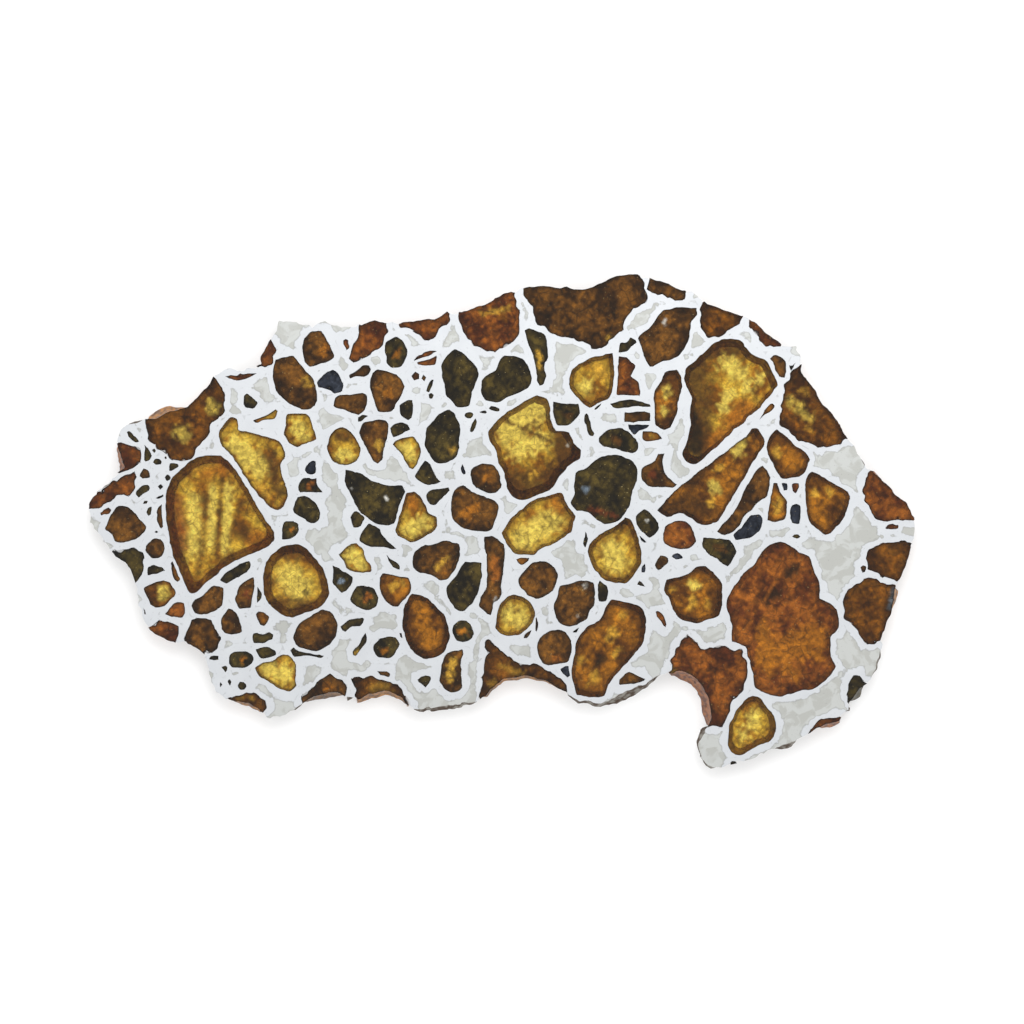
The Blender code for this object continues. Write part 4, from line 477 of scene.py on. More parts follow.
        (-52.9, -6.4), (-52.4, -8.9), (-51.9, -9.3), (-51.5, -9), (-52.1, -7.4), (-52.6, -6))),
    Grain(Kind.DARK, (
        (-56.7, -7), (-55.6, -6.6), (-54.1, -7.3), (-53.9, -7.7), (-55.6, -8.1), (-56.6, -8.3))),
    Grain(Kind.DARK, (
        (-39.9, -18.2), (-39.7, -17.7), (-39, -17.4), (-38.2, -17.7), (-37.3, -17.4), (-36.5, -17.9),
        (-36.6, -18.5), (-37.2, -18.7), (-38.3, -19.2), (-39.7, -19))),
    Grain(Kind.DARK, (
        (-39.3, -20.1), (-38.2, -19.8), (-37.1, -19.8), (-36, -20.5), (-36.1, -21), (-38.1, -21.6),
        (-38.7, -21.3))),
    Grain(Kind.DARK, ((-47.0, -21.8), (-46.6, -21.2), (-45.3, -21.2), (-45.3, -21.7), (-46.5, -21.9))),
    Grain(Kind.DARK, ((-44.8, -23), (-44.2, -22.7), (-43.9, -22.9), (-43.9, -23.5), (-44.2, -23.8))),
    Grain(Kind.DARK, ((-45.2, -25.8), (-44.9, -25.4), (-44.6, -25.8), (-44.9, -26.2))),
    Grain(Kind.DARK, ((-43.8, -25.4), (-43.5, -24.9), (-43.2, -25.4), (-43.5, -26))),
    Grain(Kind.DARK, (
        (-42.2, -26), (-41.8, -25.4), (-41.2, -25.4), (-40.8, -26), (-41.2, -26.6), (-41.8, -26.6))),
    Grain(Kind.DARK, (
        (-34, -20.4), (-33.2, -19.7), (-32.6, -20.2), (-31, -20.8), (-29.2, -20.9), (-28.5, -21.1),
        (-28.9, -21.4), (-30.1, -21.2), (-32.5, -21.2), (-33.1, -21.3))),
    Grain(Kind.DARK, (
        (-21.8, -17.5), (-21.5, -17.9), (-21.6, -19), (-22.4, -20), (-23, -20.8), (-23.4, -21.1),
        (-23.8, -21), (-23.8, -20.6), (-23.1, -19.7), (-22.3, -18.4)),
        ((-23.3, -20.7, -23.2, -20.6, 0.25, Tone.GOLD),)),
    Grain(Kind.BROWN, (
        (-20, -23.6), (-18.4, -23.7), (-17.8, -24), (-18, -24.6), (-18.8, -24.5), (-19.6, -24))),
    Grain(Kind.DARK, (
        (-13.4, -25), (-13, -24.6), (-12.2, -24.4), (-11.4, -24.5), (-11.2, -24.9), (-11.5, -25.5),
        (-12, -25.8), (-12.3, -26.2), (-12.7, -25.8), (-13.2, -25.4))),
    Grain(Kind.DARK, ((-16.4, -17.6), (-16.1, -17.6), (-15.9, -18.4), (-16.3, -18.2))),
    Grain(Kind.TROILITE, (
        (-6.3, 9.5), (-6, 8.9), (-5.7, 8.3), (-5.7, 7.9), (-6, 7.8), (-6.3, 8.1), (-6.6, 8.8),
        (-6.5, 9.3))),
    Grain(Kind.DARK, (
        (-18.4, -5.1), (-17.7, -5.7), (-16.8, -6.2), (-16.4, -6.8), (-16.3, -7.3), (-16.8, -7.2),
        (-17.5, -6.6), (-18, -5.9))),
    Grain(Kind.RUST, (
        (-14, 26.1), (-13.6, 26.6), (-12.9, 27.1), (-12.3, 27.5), (-10.6, 27.6), (-10.3, 27.4),
        (-12, 26.7))),
    Grain(Kind.RUST, (
        (-13.5, 25.7), (-12, 26.2), (-10.4, 26.8), (-10.4, 26), (-10.6, 25.5), (-11.1, 25.3),
        (-12.5, 25.3), (-13.3, 25.4))),
    Grain(Kind.AMBER, ((-14.4, 23.7), (-13.8, 24.3), (-13.2, 23.9), (-13.2, 23.1), (-13.9, 22.9))),
    Grain(Kind.BROWN, ((-12.9, 23.2), (-12.5, 23.7), (-12.1, 23.3), (-12.4, 22.7))),
    Grain(Kind.DARK, ((-10.8, 22.9), (-11.1, 23), (-11.8, 22.2), (-12.1, 21.2), (-11.8, 21), (-11.2, 21.7))),
    Grain(Kind.DARK, ((-11.7, 20.6), (-11.2, 20.9), (-10.8, 20.5), (-11.1, 20), (-11.6, 20.1))),
    Grain(Kind.DARK, (
        (-2, 18.5), (-1.7, 18.8), (-1, 18.7), (-0.4, 18.4), (-0.3, 18.1), (-0.5, 17.9),
        (-0.9, 18), (-1.5, 18.2))),
    Grain(Kind.DARK, ((-3.6, 17.7), (-3, 17.9), (-2.4, 18), (-2.2, 17.7), (-2.6, 17.4), (-3.1, 17.5))),
    Grain(Kind.DARK, (
        (-5.8, 17.2), (-5.6, 17.7), (-5.2, 17.9), (-4.7, 17.8), (-4.5, 17.3), (-4.8, 16.9),
        (-5.4, 16.7), (-5.7, 16.9))),
    Grain(Kind.DARK, (
        (-4.2, 16.9), (-4, 16.4), (-4.1, 15.5), (-4.5, 14.8), (-4.9, 14.6), (-5.1, 14.8),
        (-4.8, 15.6), (-4.5, 16.4))),
    Grain(Kind.DARK, (
        (13.3, 17.4), (13.6, 17.6), (13.9, 17.4), (14.1, 16.7), (14.3, 15.7), (14.6, 14.9),
        (14.9, 14.4), (14.7, 14), (14.3, 14), (13.9, 14.5), (13.6, 15.4), (13.2, 16.4))),
    Grain(Kind.DARK, (
        (14.8, 18.4), (15.2, 18.9), (15.9, 19.3), (16.2, 19.3), (16, 18.9), (15.4, 18.4),
        (15, 18.2))),
    Grain(Kind.DARK, (
        (13.4, -1.3), (13.6, -1.6), (13.9, -2.4), (13.8, -3.2), (13.5, -3.8), (13.3, -3.8),
        (13.2, -3.1), (13.3, -2))),
    Grain(Kind.AMBER, (
        (2.4, -5.7), (3.2, -5.5), (4.4, -5.4), (4.3, -5.8), (3.9, -6.3), (3.5, -6.7), (3.1, -6.7),
        (2.7, -6.3))),
    Grain(Kind.RUST, ((5.4, -15), (5.6, -15), (5.8, -15.8), (5.8, -16.6), (5.6, -17.2), (5.4, -17))),
    Grain(Kind.BROWN, ((4.8, -17), (4.5, -17.6), (4, -18.3), (3.6, -18.3), (3.7, -17.9), (4.2, -17.4))),
    Grain(Kind.DARK, ((12.3, -16.6), (11.8, -16.9), (11.4, -17.3), (11.5, -17.4), (12, -17.3))),
    Grain(Kind.TROILITE, (
        (20.3, 15.9), (22, 15.9), (23.6, 15.8), (23.2, 15.3), (22.4, 15), (21.8, 14.4),
        (21.2, 14), (20.7, 14.5), (20.4, 15.1))),
    Grain(Kind.TROILITE, ((21.9, -1.9), (22.9, -2.6), (23.3, -2.9), (22.9, -3), (22, -2.6))),
    Grain(Kind.TROILITE, ((27.2, -5.4), (27.5, -4.9), (28.2, -4.7), (29, -5.2), (29, -5.5), (28, -5.8))),
    Grain(Kind.BROWN, (
        (25.4, -5.1), (26.5, -5.5), (26.6, -6.3), (25.5, -7.3), (25, -7.4), (24.7, -6.7),
        (25, -5.7))),
    Grain(Kind.DARK, ((21.6, -9.7), (22, -9.1), (22.4, -9.4), (22.9, -10.1), (22.2, -10))),
    Grain(Kind.TROILITE, ((22.4, -7.8), (22.6, -6.9), (22.9, -6.6), (23, -7.2), (22.9, -7.8))),
    Grain(Kind.RUST, (
        (24.7, -14.2), (25.1, -14.1), (25.7, -14.5), (26.1, -15.3), (26.4, -16.1), (26.2, -16.5),
        (25.9, -16.3), (25.4, -15.5), (24.9, -14.9))),
    Grain(Kind.DARK, ((46.1, 25.4), (46.8, 25.4), (47.2, 25.8), (47.2, 25), (46.9, 24.9), (46.2, 24.6))),
    Grain(Kind.RUST, (
        (61.6, -0.9), (61.5, -0.7), (61.8, -0.3), (62.6, -0.1), (63.4, -0.1), (63.5, -0.4),
        (63.4, -0.8), (62.6, -0.9))),
    Grain(Kind.DARK, ((46.5, -2), (46.8, -1.7), (47.4, -1.7), (47.7, -2), (47.4, -2.3), (46.8, -2.3))),
    Grain(Kind.BROWN, (
        (57.5, -7), (57.8, -6.7), (58.1, -6.8), (58.3, -7.3), (58.2, -7.7), (57.8, -7.8))),
    Grain(Kind.DARK, (
        (-57.2, 12.6), (-56.6, 11.9), (-56, 10.9), (-56.3, 10.3), (-56.9, 10), (-57.2, 10.5),
        (-57.1, 11.6))),
    Grain(Kind.DARK, ((-55.9, 11.7), (-55.5, 12), (-55.1, 11.7), (-55.5, 11.3))),
    Grain(Kind.DARK, ((-55.8, 9.9), (-55.5, 10.3), (-54.8, 10.3), (-54.4, 9.9), (-54.5, 9.5), (-55.2, 9.4))),
    Grain(Kind.RUST, ((-54.1, 11.3), (-53.7, 11.3), (-53.3, 10.9), (-53.3, 10.4), (-53.7, 10.4), (-54, 10.8))),
    Grain(Kind.DARK, ((-53.1, 9.2), (-52.9, 9.9), (-51.7, 9.5), (-51.6, 9.2), (-52.7, 8.5), (-53.2, 8.5))),
    Grain(Kind.DARK, ((-53.9, 7.3), (-53.5, 7.8), (-53, 7.6), (-52.9, 7.2), (-53.2, 6.8), (-53.7, 6.7))),
    Grain(Kind.BROWN, ((-57.9, 7.6), (-57.3, 8.8), (-56.7, 8.6), (-56.2, 7.9), (-56.2, 7.4), (-57.5, 7.2))),
    Grain(Kind.DARK, (
        (-58.3, 4.7), (-58.1, 5.6), (-57.6, 6.1), (-56.8, 6.2), (-56.4, 5.7), (-56.8, 4.9),
        (-57.6, 4.4), (-58, 4.1))),
    Grain(Kind.DARK, ((-54.9, 5.9), (-54.5, 6.3), (-54.1, 5.9), (-54.5, 5.5))),
    Grain(Kind.DARK, ((-57.4, 3.2), (-57.1, 3.6), (-56.6, 3.6), (-56.8, 3.1))),
    Grain(Kind.DARK, ((-56.8, 1.9), (-56.6, 2.5), (-56, 2.7), (-56, 2.3), (-56.2, 1.5), (-56.6, 1.3))),
    Grain(Kind.BROWN, (
        (-55.1, 0.6), (-55.1, 1.8), (-54.8, 2.7), (-54.4, 3.1), (-54.3, 1), (-54.2, -0.4),
        (-54.5, -0.7), (-54.9, -0.1))),
    Grain(Kind.DARK, ((-55.4, 4), (-54.9, 4.4), (-54.1, 4.7), (-54, 4.4), (-54.6, 4))),
    Grain(Kind.DARK, ((-60, 14.5), (-59.6, 14.7), (-58.2, 13.5), (-58.1, 13), (-58.5, 13), (-59.7, 13.9))),
    Grain(Kind.DARK, ((-55.6, -1.4), (-55.2, -1.1), (-54.8, -1.3), (-55.1, -1.5))),
    Grain(Kind.RUST, (
        (-64.4, 1.6), (-64, 2), (-62.9, 2.5), (-62.4, 2.2), (-62.8, 1.6), (-63.6, 1.4),
        (-64.1, 1.2))),
    Grain(Kind.RUST, (
        (-44.2, 23.6), (-43.2, 23.1), (-41.8, 22.8), (-40.2, 23.5), (-39.2, 24.2), (-40.6, 24),
        (-42.4, 23.9))),
)


def linear(code: str) -> np.ndarray:
    """Turn an sRGB hex code into linear light.

    Args:
        code: Six hex digits.

    Returns:
        Red, green and blue, from 0 to 1.
    """
    srgb = np.array([int(code[at:at + 2], 16) for at in (0, 2, 4)]) / 255.0
    return np.where(srgb <= 0.04045, srgb / 12.92, ((srgb + 0.055) / 1.055) ** 2.4)


def smooth_step(value: np.ndarray, low: float, high: float) -> np.ndarray:
    """Rise smoothly from 0 at one value to 1 at another."""
    share = np.clip((value - low) / (high - low), 0.0, 1.0)
    return share * share * (3.0 - 2.0 * share)


class Waves:
    """Smooth seeded noise in the plane: a sum of sine waves that run in many directions.

    With n waves of unit height the sum is divided by the root of n / 2, so its spread is about 1.
    """

    def __init__(self, seed: int, wavelength: float, count: int = 16) -> None:
        random = np.random.default_rng(seed)
        angle = random.uniform(0.0, math.tau, count)
        length = wavelength * random.uniform(0.6, 1.7, count)
        self.across = np.stack([np.cos(angle), np.sin(angle)]) * math.tau / length
        self.phase = random.uniform(0.0, math.tau, count)
        self.scale = 1.0 / math.sqrt(count / 2.0)

    def at(self, places: np.ndarray) -> np.ndarray:
        """The noise at each place.

        Args:
            places: One x and y a row, in millimetres.

        Returns:
            One value a place.
        """
        return np.sin(places @ self.across + self.phase).sum(axis=1) * self.scale


@dataclass
class Ring:
    """A closed outline on the polished face.

    Args:
        places: Its corners, one x and y a row, in millimetres.
        shift: From each corner to its place on the underside.
    """

    places: np.ndarray
    shift: np.ndarray

    def smoothed(self, step: float) -> "Ring":
        """Draw a curve through the corners.

        Between two corners it is the cubic whose slope at each end is the chord of the corners on
        both sides over their distance, flatter where the outline turns sharply.

        Args:
            step: The longest distance between two points of the curve.

        Returns:
            The curve as a ring of its own.
        """
        data = np.hstack([self.places, self.shift])
        ahead = np.roll(data, -1, axis=0)
        reach = np.linalg.norm(ahead[:, :2] - data[:, :2], axis=1) + 1e-9
        before = np.roll(reach, 1)
        back = np.roll(data, 1, axis=0)
        turn = ((data - back)[:, :2] * (ahead - data)[:, :2]).sum(axis=1) / (reach * before)
        slack = np.clip(0.2 + 0.75 * turn, 0.1, 0.9)
        slope = (ahead - back) / (reach + before)[:, None] * slack[:, None]
        counts = np.maximum(1, np.ceil(reach / step)).astype(int)
        which = np.repeat(np.arange(len(data)), counts)
        first = np.repeat(np.cumsum(counts) - counts, counts)
        share = ((np.arange(len(which)) - first) / counts[which])[:, None]
        after = (which + 1) % len(data)
        start_pull = slope[which] * reach[which, None]
        end_pull = slope[after] * reach[which, None]
        curve = (
            (2 * share ** 3 - 3 * share ** 2 + 1) * data[which]
            + (share ** 3 - 2 * share ** 2 + share) * start_pull
            + (3 * share ** 2 - 2 * share ** 3) * data[after]
            + (share ** 3 - share ** 2) * end_pull)
        return Ring(curve[:, :2], curve[:, 2:])

    def outward(self) -> np.ndarray:
        """The outward direction at each corner, for a ring that runs counter-clockwise."""
        along = np.roll(self.places, -1, axis=0) - np.roll(self.places, 1, axis=0)
        normal = np.stack([along[:, 1], -along[:, 0]], axis=1)
        return normal / (np.linalg.norm(normal, axis=1, keepdims=True) + 1e-12)

    def area(self) -> float:
        """The area inside, negative where the ring runs clockwise."""
        ahead = np.roll(self.places, -1, axis=0)
        return float((self.places[:, 0] * ahead[:, 1] - ahead[:, 0] * self.places[:, 1]).sum() / 2)

    def counter_clockwise(self) -> "Ring":
        """The ring, turned round if it runs clockwise."""
        if self.area() < 0.0:
            return Ring(self.places[::-1].copy(), self.shift[::-1].copy())
        return self

    def grown(self, distance: np.ndarray | float) -> "Ring":
        """The ring moved outward by a distance, or by one distance a corner."""
        step = np.broadcast_to(np.asarray(distance, float), (len(self.places),))
        return Ring(self.places + self.outward() * step[:, None], self.shift.copy())


class RingField:
    """Signed distances from places to several rings, negative inside a ring."""

    CHUNK = 1500

    def __init__(self, rings: list[Ring]) -> None:
        self.starts = np.concatenate([ring.places for ring in rings])
        self.ends = np.concatenate([np.roll(ring.places, -1, axis=0) for ring in rings])
        sizes = np.array([len(ring.places) for ring in rings])
        self.first = np.cumsum(sizes) - sizes

    def at(self, places: np.ndarray) -> np.ndarray:
        """The distance from each place to each ring.

        Each side's nearest place is found by projection, and a place is inside a ring if a line
        from it towards +x crosses the ring an odd number of times.

        Args:
            places: One x and y a row.

        Returns:
            One row a place and one column a ring.
        """
        chunks = [places[at:at + self.CHUNK] for at in range(0, len(places), self.CHUNK)]
        return np.concatenate([self._chunk(chunk) for chunk in chunks])

    def _chunk(self, places: np.ndarray) -> np.ndarray:
        along = self.ends - self.starts
        x = places[:, :1] - self.starts[None, :, 0]
        y = places[:, 1:] - self.starts[None, :, 1]
        square = (along ** 2).sum(axis=1) + 1e-12
        share = np.clip((x * along[:, 0] + y * along[:, 1]) / square, 0.0, 1.0)
        gap = np.hypot(x - share * along[:, 0], y - share * along[:, 1])
        nearest = np.minimum.reduceat(gap, self.first, axis=1)
        rise = np.where(np.abs(along[:, 1]) < 1e-9, 1e-9, along[:, 1])
        low = self.starts[None, :, 1] > places[:, 1:]
        high = self.ends[None, :, 1] > places[:, 1:]
        crossed = (low != high) & (x < y * along[:, 0] / rise)
        inside = np.add.reduceat(crossed.astype(np.int32), self.first, axis=1) % 2 == 1
        return np.where(inside, -nearest, nearest)


def read_rings(node: bpy.types.Object, thickness: float) -> list[Ring]:
    """Read the outlines of a solid's polished face from its mesh.

    A side of a triangle on that face that no other triangle shares lies on an outline. Each corner
    is paired with the nearest corner of the underside that a side of the flank joins it to.

    Args:
        node: The solid.
        thickness: The height of the polished face, in millimetres.

    Returns:
        The outlines, the outer one counter-clockwise and holes clockwise.
    """
    mesh = node.data
    raw = np.empty(len(mesh.vertices) * 3, np.float32)
    mesh.vertices.foreach_get("co", raw)
    corners, index = np.unique(
        np.round(raw.reshape(-1, 3).astype(float) / MM, 3), axis=0, return_inverse=True)
    mesh.calc_loop_triangles()
    ids = np.empty(len(mesh.loop_triangles) * 3, np.int32)
    mesh.loop_triangles.foreach_get("vertices", ids)
    triangles = index.ravel()[ids].reshape(-1, 3)
    sides = np.concatenate([triangles[:, [0, 1]], triangles[:, [1, 2]], triangles[:, [2, 0]]])
    high = corners[:, 2] > thickness - 0.01
    low = corners[:, 2] < 0.01
    flank = sides[high[sides[:, 0]] & low[sides[:, 1]]]
    flank = np.concatenate([flank, sides[low[sides[:, 0]] & high[sides[:, 1]]][:, ::-1]])
    gap = np.linalg.norm(corners[flank[:, 0], :2] - corners[flank[:, 1], :2], axis=1)
    flank = flank[np.lexsort((gap, flank[:, 0]))]
    upper, at = np.unique(flank[:, 0], return_index=True)
    shift = np.zeros((len(corners), 2))
    shift[upper] = corners[flank[at, 1], :2] - corners[upper, :2]
    caps = triangles[high[triangles].all(axis=1)]
    borders = np.concatenate([caps[:, [0, 1]], caps[:, [1, 2]], caps[:, [2, 0]]])
    kept = set(map(tuple, borders.tolist()))
    ahead = {start: end for start, end in kept if (end, start) not in kept}
    rings = []
    while ahead:
        start, here = ahead.popitem()
        chain = [start]
        while here != start and here in ahead:
            chain.append(here)
            here = ahead.pop(here)
        if here == start and len(chain) > 2:
            rings.append(Ring(corners[chain, :2], shift[chain]))
    return rings


class Wobble:
    """A fine unevenness that moves crystals and metal alike, so that they still fit.

    Along the broken rim it is coarser.
    """

    def __init__(self, rim: Ring) -> None:
        self.rim = RingField([rim])
        self.long = (Waves(11, 2.4), Waves(12, 2.4))
        self.short = (Waves(13, 0.9), Waves(14, 0.9))
        self.chips = (Waves(15, 1.6), Waves(16, 1.6))

    def moved(self, ring: Ring) -> Ring:
        """The ring with every place moved by the unevenness there."""
        beside = 1.0 - smooth_step(np.abs(self.rim.at(ring.places)[:, 0]), 0.2, 1.4)
        push = np.stack(
            [long.at(ring.places) * 0.055 + short.at(ring.places) * 0.03
             + chip.at(ring.places) * beside * 0.10
             for long, short, chip in zip(self.long, self.short, self.chips)], axis=1)
        return Ring(ring.places + push, ring.shift)


@dataclass
class Slab:
    """A closed mesh between the two cut faces.

    Args:
        places: Corner positions, in millimetres.
        faces: Corner numbers of each face.
        flank: True for each face of the flank.
        source: For each corner, the x and y of its place on the polished face.
    """

    places: np.ndarray
    faces: list
    flank: np.ndarray
    source: np.ndarray


def border_sides(triangles: np.ndarray, count: int) -> np.ndarray:
    """The sides of triangles that no other triangle runs along the other way.

    Args:
        triangles: Three corner numbers a row.
        count: How many corners there are.

    Returns:
        Two corner numbers a row.
    """
    sides = np.concatenate([triangles[:, [0, 1]], triangles[:, [1, 2]], triangles[:, [2, 0]]])
    code = sides[:, 0].astype(np.int64) * count + sides[:, 1]
    back = sides[:, 1].astype(np.int64) * count + sides[:, 0]
    return sides[~np.isin(code, back)]


def unpinched(triangles: np.ndarray, count: int) -> np.ndarray:
    """Drop the triangles at each corner where two stretches of the border meet.

    Such a corner would give the closed slab an edge with four faces.
    """
    for _ in range(8):
        starts = np.bincount(border_sides(triangles, count)[:, 0], minlength=count)
        pinched = (starts > 1)[triangles].any(axis=1)
        if not pinched.any():
            break
        triangles = triangles[~pinched]
    return triangles


class SlabMaker:
    """Builds slabs from rings."""

    def __init__(self, thickness: float, low: np.ndarray, high: np.ndarray) -> None:
        self.thickness = thickness
        self.low = low
        self.high = high
        self.rough = Waves(21, 1.1)
        self.pits = Waves(22, 0.5)

    def lattice(self, rings: list[Ring], step: float, margin: float) -> np.ndarray:
        """Places of a staggered lattice inside the rings, clear of their edges.

        Args:
            rings: The outer ring, then the holes.
            step: The lattice's spacing.
            margin: The least distance from a ring.

        Returns:
            One x and y a row.
        """
        low = rings[0].places.min(axis=0)
        high = rings[0].places.max(axis=0)
        columns = np.arange(low[0], high[0], step)
        rows = np.arange(low[1], high[1], step * 0.866)
        x, y = np.meshgrid(columns, rows)
        x = x + (np.arange(len(rows)) % 2)[:, None] * step * 0.5
        places = np.stack([x.ravel(), y.ravel()], axis=1)
        random = np.random.default_rng(5)
        places = places + random.uniform(-0.12, 0.12, places.shape) * step
        field = RingField(rings).at(places)
        clear = field[:, 0] < -margin
        if len(rings) > 1:
            clear &= (field[:, 1:] > margin).all(axis=1)
        return places[clear]

    def build(self, rings: list[Ring], inner: np.ndarray, broken: bool) -> Slab:
        """Build a slab.

        The polished face is a Delaunay mesh of the rings and the inner places. The underside is
        the same mesh with every corner moved by its shift. Between them the flank runs in several
        levels, which a broken slab draws in unevenly along its outer ring.

        Args:
            rings: The outer ring, then the holes.
            inner: Places inside.
            broken: Whether the outer ring's flank is rough.

        Returns:
            The closed mesh.
        """
        edge = np.concatenate([ring.places for ring in rings])
        edge_shift = np.concatenate([ring.shift for ring in rings])
        sizes = [len(ring.places) for ring in rings]
        firsts = np.cumsum([0] + sizes[:-1])
        sides = [
            (int(first + at), int(first + (at + 1) % size))
            for first, size in zip(firsts, sizes) for at in range(size)]
        inner_shift = self._inner_shift(edge, edge_shift, inner, len(rings) == 1)
        given = np.concatenate([edge, inner])
        given_shift = np.concatenate([edge_shift, inner_shift])
        verts, _, faces, origin, _, _ = delaunay_2d_cdt(
            [Vector(place) for place in given], sides, [], 2, 1e-5)
        flat = np.array([vert[:] for vert in verts])
        source = np.array([found[0] if found else -1 for found in origin])
        fresh = np.flatnonzero(source < 0)
        if len(fresh):
            gaps = np.linalg.norm(edge[None] - flat[fresh][:, None], axis=2)
            source[fresh] = gaps.argmin(axis=1)
        shift = given_shift[source]
        outer = source < sizes[0]
        tops = np.array([face for face in faces if len(face) == 3])
        a, b, c = (flat[tops[:, at]] for at in range(3))
        turned = (b[:, 0] - a[:, 0]) * (c[:, 1] - a[:, 1]) - (b[:, 1] - a[:, 1]) * (c[:, 0] - a[:, 0])
        tops[turned < 0] = tops[turned < 0][:, ::-1]
        on_hole = np.zeros(len(given), bool)
        on_hole[sizes[0]:len(edge)] = True
        doubtful = on_hole[source[tops]].all(axis=1)
        if doubtful.any():
            gaps = RingField(rings[1:]).at(flat[tops[doubtful]].mean(axis=1))
            filled = np.zeros(len(tops), bool)
            filled[doubtful] = (gaps < 0.0).any(axis=1)
            tops = tops[~filled]
        tops = unpinched(tops, len(flat))
        used, tops = np.unique(tops, return_inverse=True)
        tops = tops.reshape(-1, 3)
        return self._close(flat[used], shift[used], tops, outer[used] & broken)

    def _inner_shift(
            self, edge: np.ndarray, edge_shift: np.ndarray, inner: np.ndarray, whole: bool) -> np.ndarray:
        """Shifts of inner places: the straight-line fit of the edge's shifts, if that fit is close.

        Args:
            edge: Places on the rings.
            edge_shift: Their shifts.
            inner: Places inside.
            whole: Whether the slab has no holes.

        Returns:
            One shift for each inner place.
        """
        if not whole or not len(inner):
            return np.zeros_like(inner)
        known = np.hstack([edge, np.ones((len(edge), 1))])
        fit, *_ = np.linalg.lstsq(known, edge_shift, rcond=None)
        if np.abs(known @ fit - edge_shift).max() > 0.12:
            return np.zeros_like(inner)
        return np.hstack([inner, np.ones((len(inner), 1))]) @ fit

    def _close(self, flat: np.ndarray, shift: np.ndarray, tops: np.ndarray, rough: np.ndarray) -> Slab:
        """Add the underside and the flank to a triangulated face.

        Args:
            flat: Corners of the face.
            shift: From each corner to its place on the underside.
            tops: The face's triangles.
            rough: True for each corner whose flank is broken.

        Returns:
            The closed mesh.
        """
        count = len(flat)
        border = border_sides(tops, count)
        rim = np.unique(border)
        slot = np.full(count, -1)
        slot[rim] = np.arange(len(rim))
        along = flat[border[:, 1]] - flat[border[:, 0]]
        normal = np.zeros((count, 2))
        out = np.stack([along[:, 1], -along[:, 0]], axis=1)
        np.add.at(normal, border[:, 0], out)
        np.add.at(normal, border[:, 1], out)
        normal = normal[rim] / (np.linalg.norm(normal[rim], axis=1, keepdims=True) + 1e-12)
        layers = [np.hstack([flat, np.full((count, 1), self.thickness)])]
        for level in range(1, LEVELS):
            share = level / LEVELS
            place = flat[rim] + shift[rim] * share
            uneven = self.rough.at(place + level * 3.1) * 0.5 + self.pits.at(place - level) * 0.3
            pull = (0.10 + 0.10 * np.abs(uneven)) * np.where(rough[rim], 1.0, 0.0)
            place = place - normal * (pull * math.sin(math.pi * share) * 1.6)[:, None]
            layers.append(np.hstack([place, np.full((len(rim), 1), self.thickness * (1 - share))]))
        layers.append(np.hstack([flat + shift, np.zeros((count, 1))]))
        starts = np.cumsum([0] + [len(layer) for layer in layers[:-1]])
        places = np.concatenate(layers)
        places[:, :2] = np.clip(places[:, :2], self.low, self.high)
        source = np.concatenate([flat] + [flat[rim]] * (LEVELS - 1) + [flat])
        numbers = [np.arange(count)] + [np.where(slot >= 0, slot + start, -1) for start in starts[1:-1]]
        numbers.append(np.arange(count) + starts[-1])
        walls = [
            np.stack([up[border[:, 1]], up[border[:, 0]], down[border[:, 0]], down[border[:, 1]]], axis=1)
            for up, down in zip(numbers[:-1], numbers[1:])]
        walls = np.concatenate(walls)
        caps = np.concatenate([tops, tops[:, ::-1] + starts[-1]])
        flank = np.concatenate([np.zeros(len(caps), bool), np.ones(len(walls), bool)])
        return Slab(places, caps.tolist() + walls.tolist(), flank, source)


def joined(slabs: list[Slab]) -> Slab:
    """Several slabs as one mesh."""
    faces = []
    start = 0
    for slab in slabs:
        faces.extend([[number + start for number in face] for face in slab.faces])
        start += len(slab.places)
    return Slab(
        np.concatenate([slab.places for slab in slabs]), faces,
        np.concatenate([slab.flank for slab in slabs]),
        np.concatenate([slab.source for slab in slabs]))


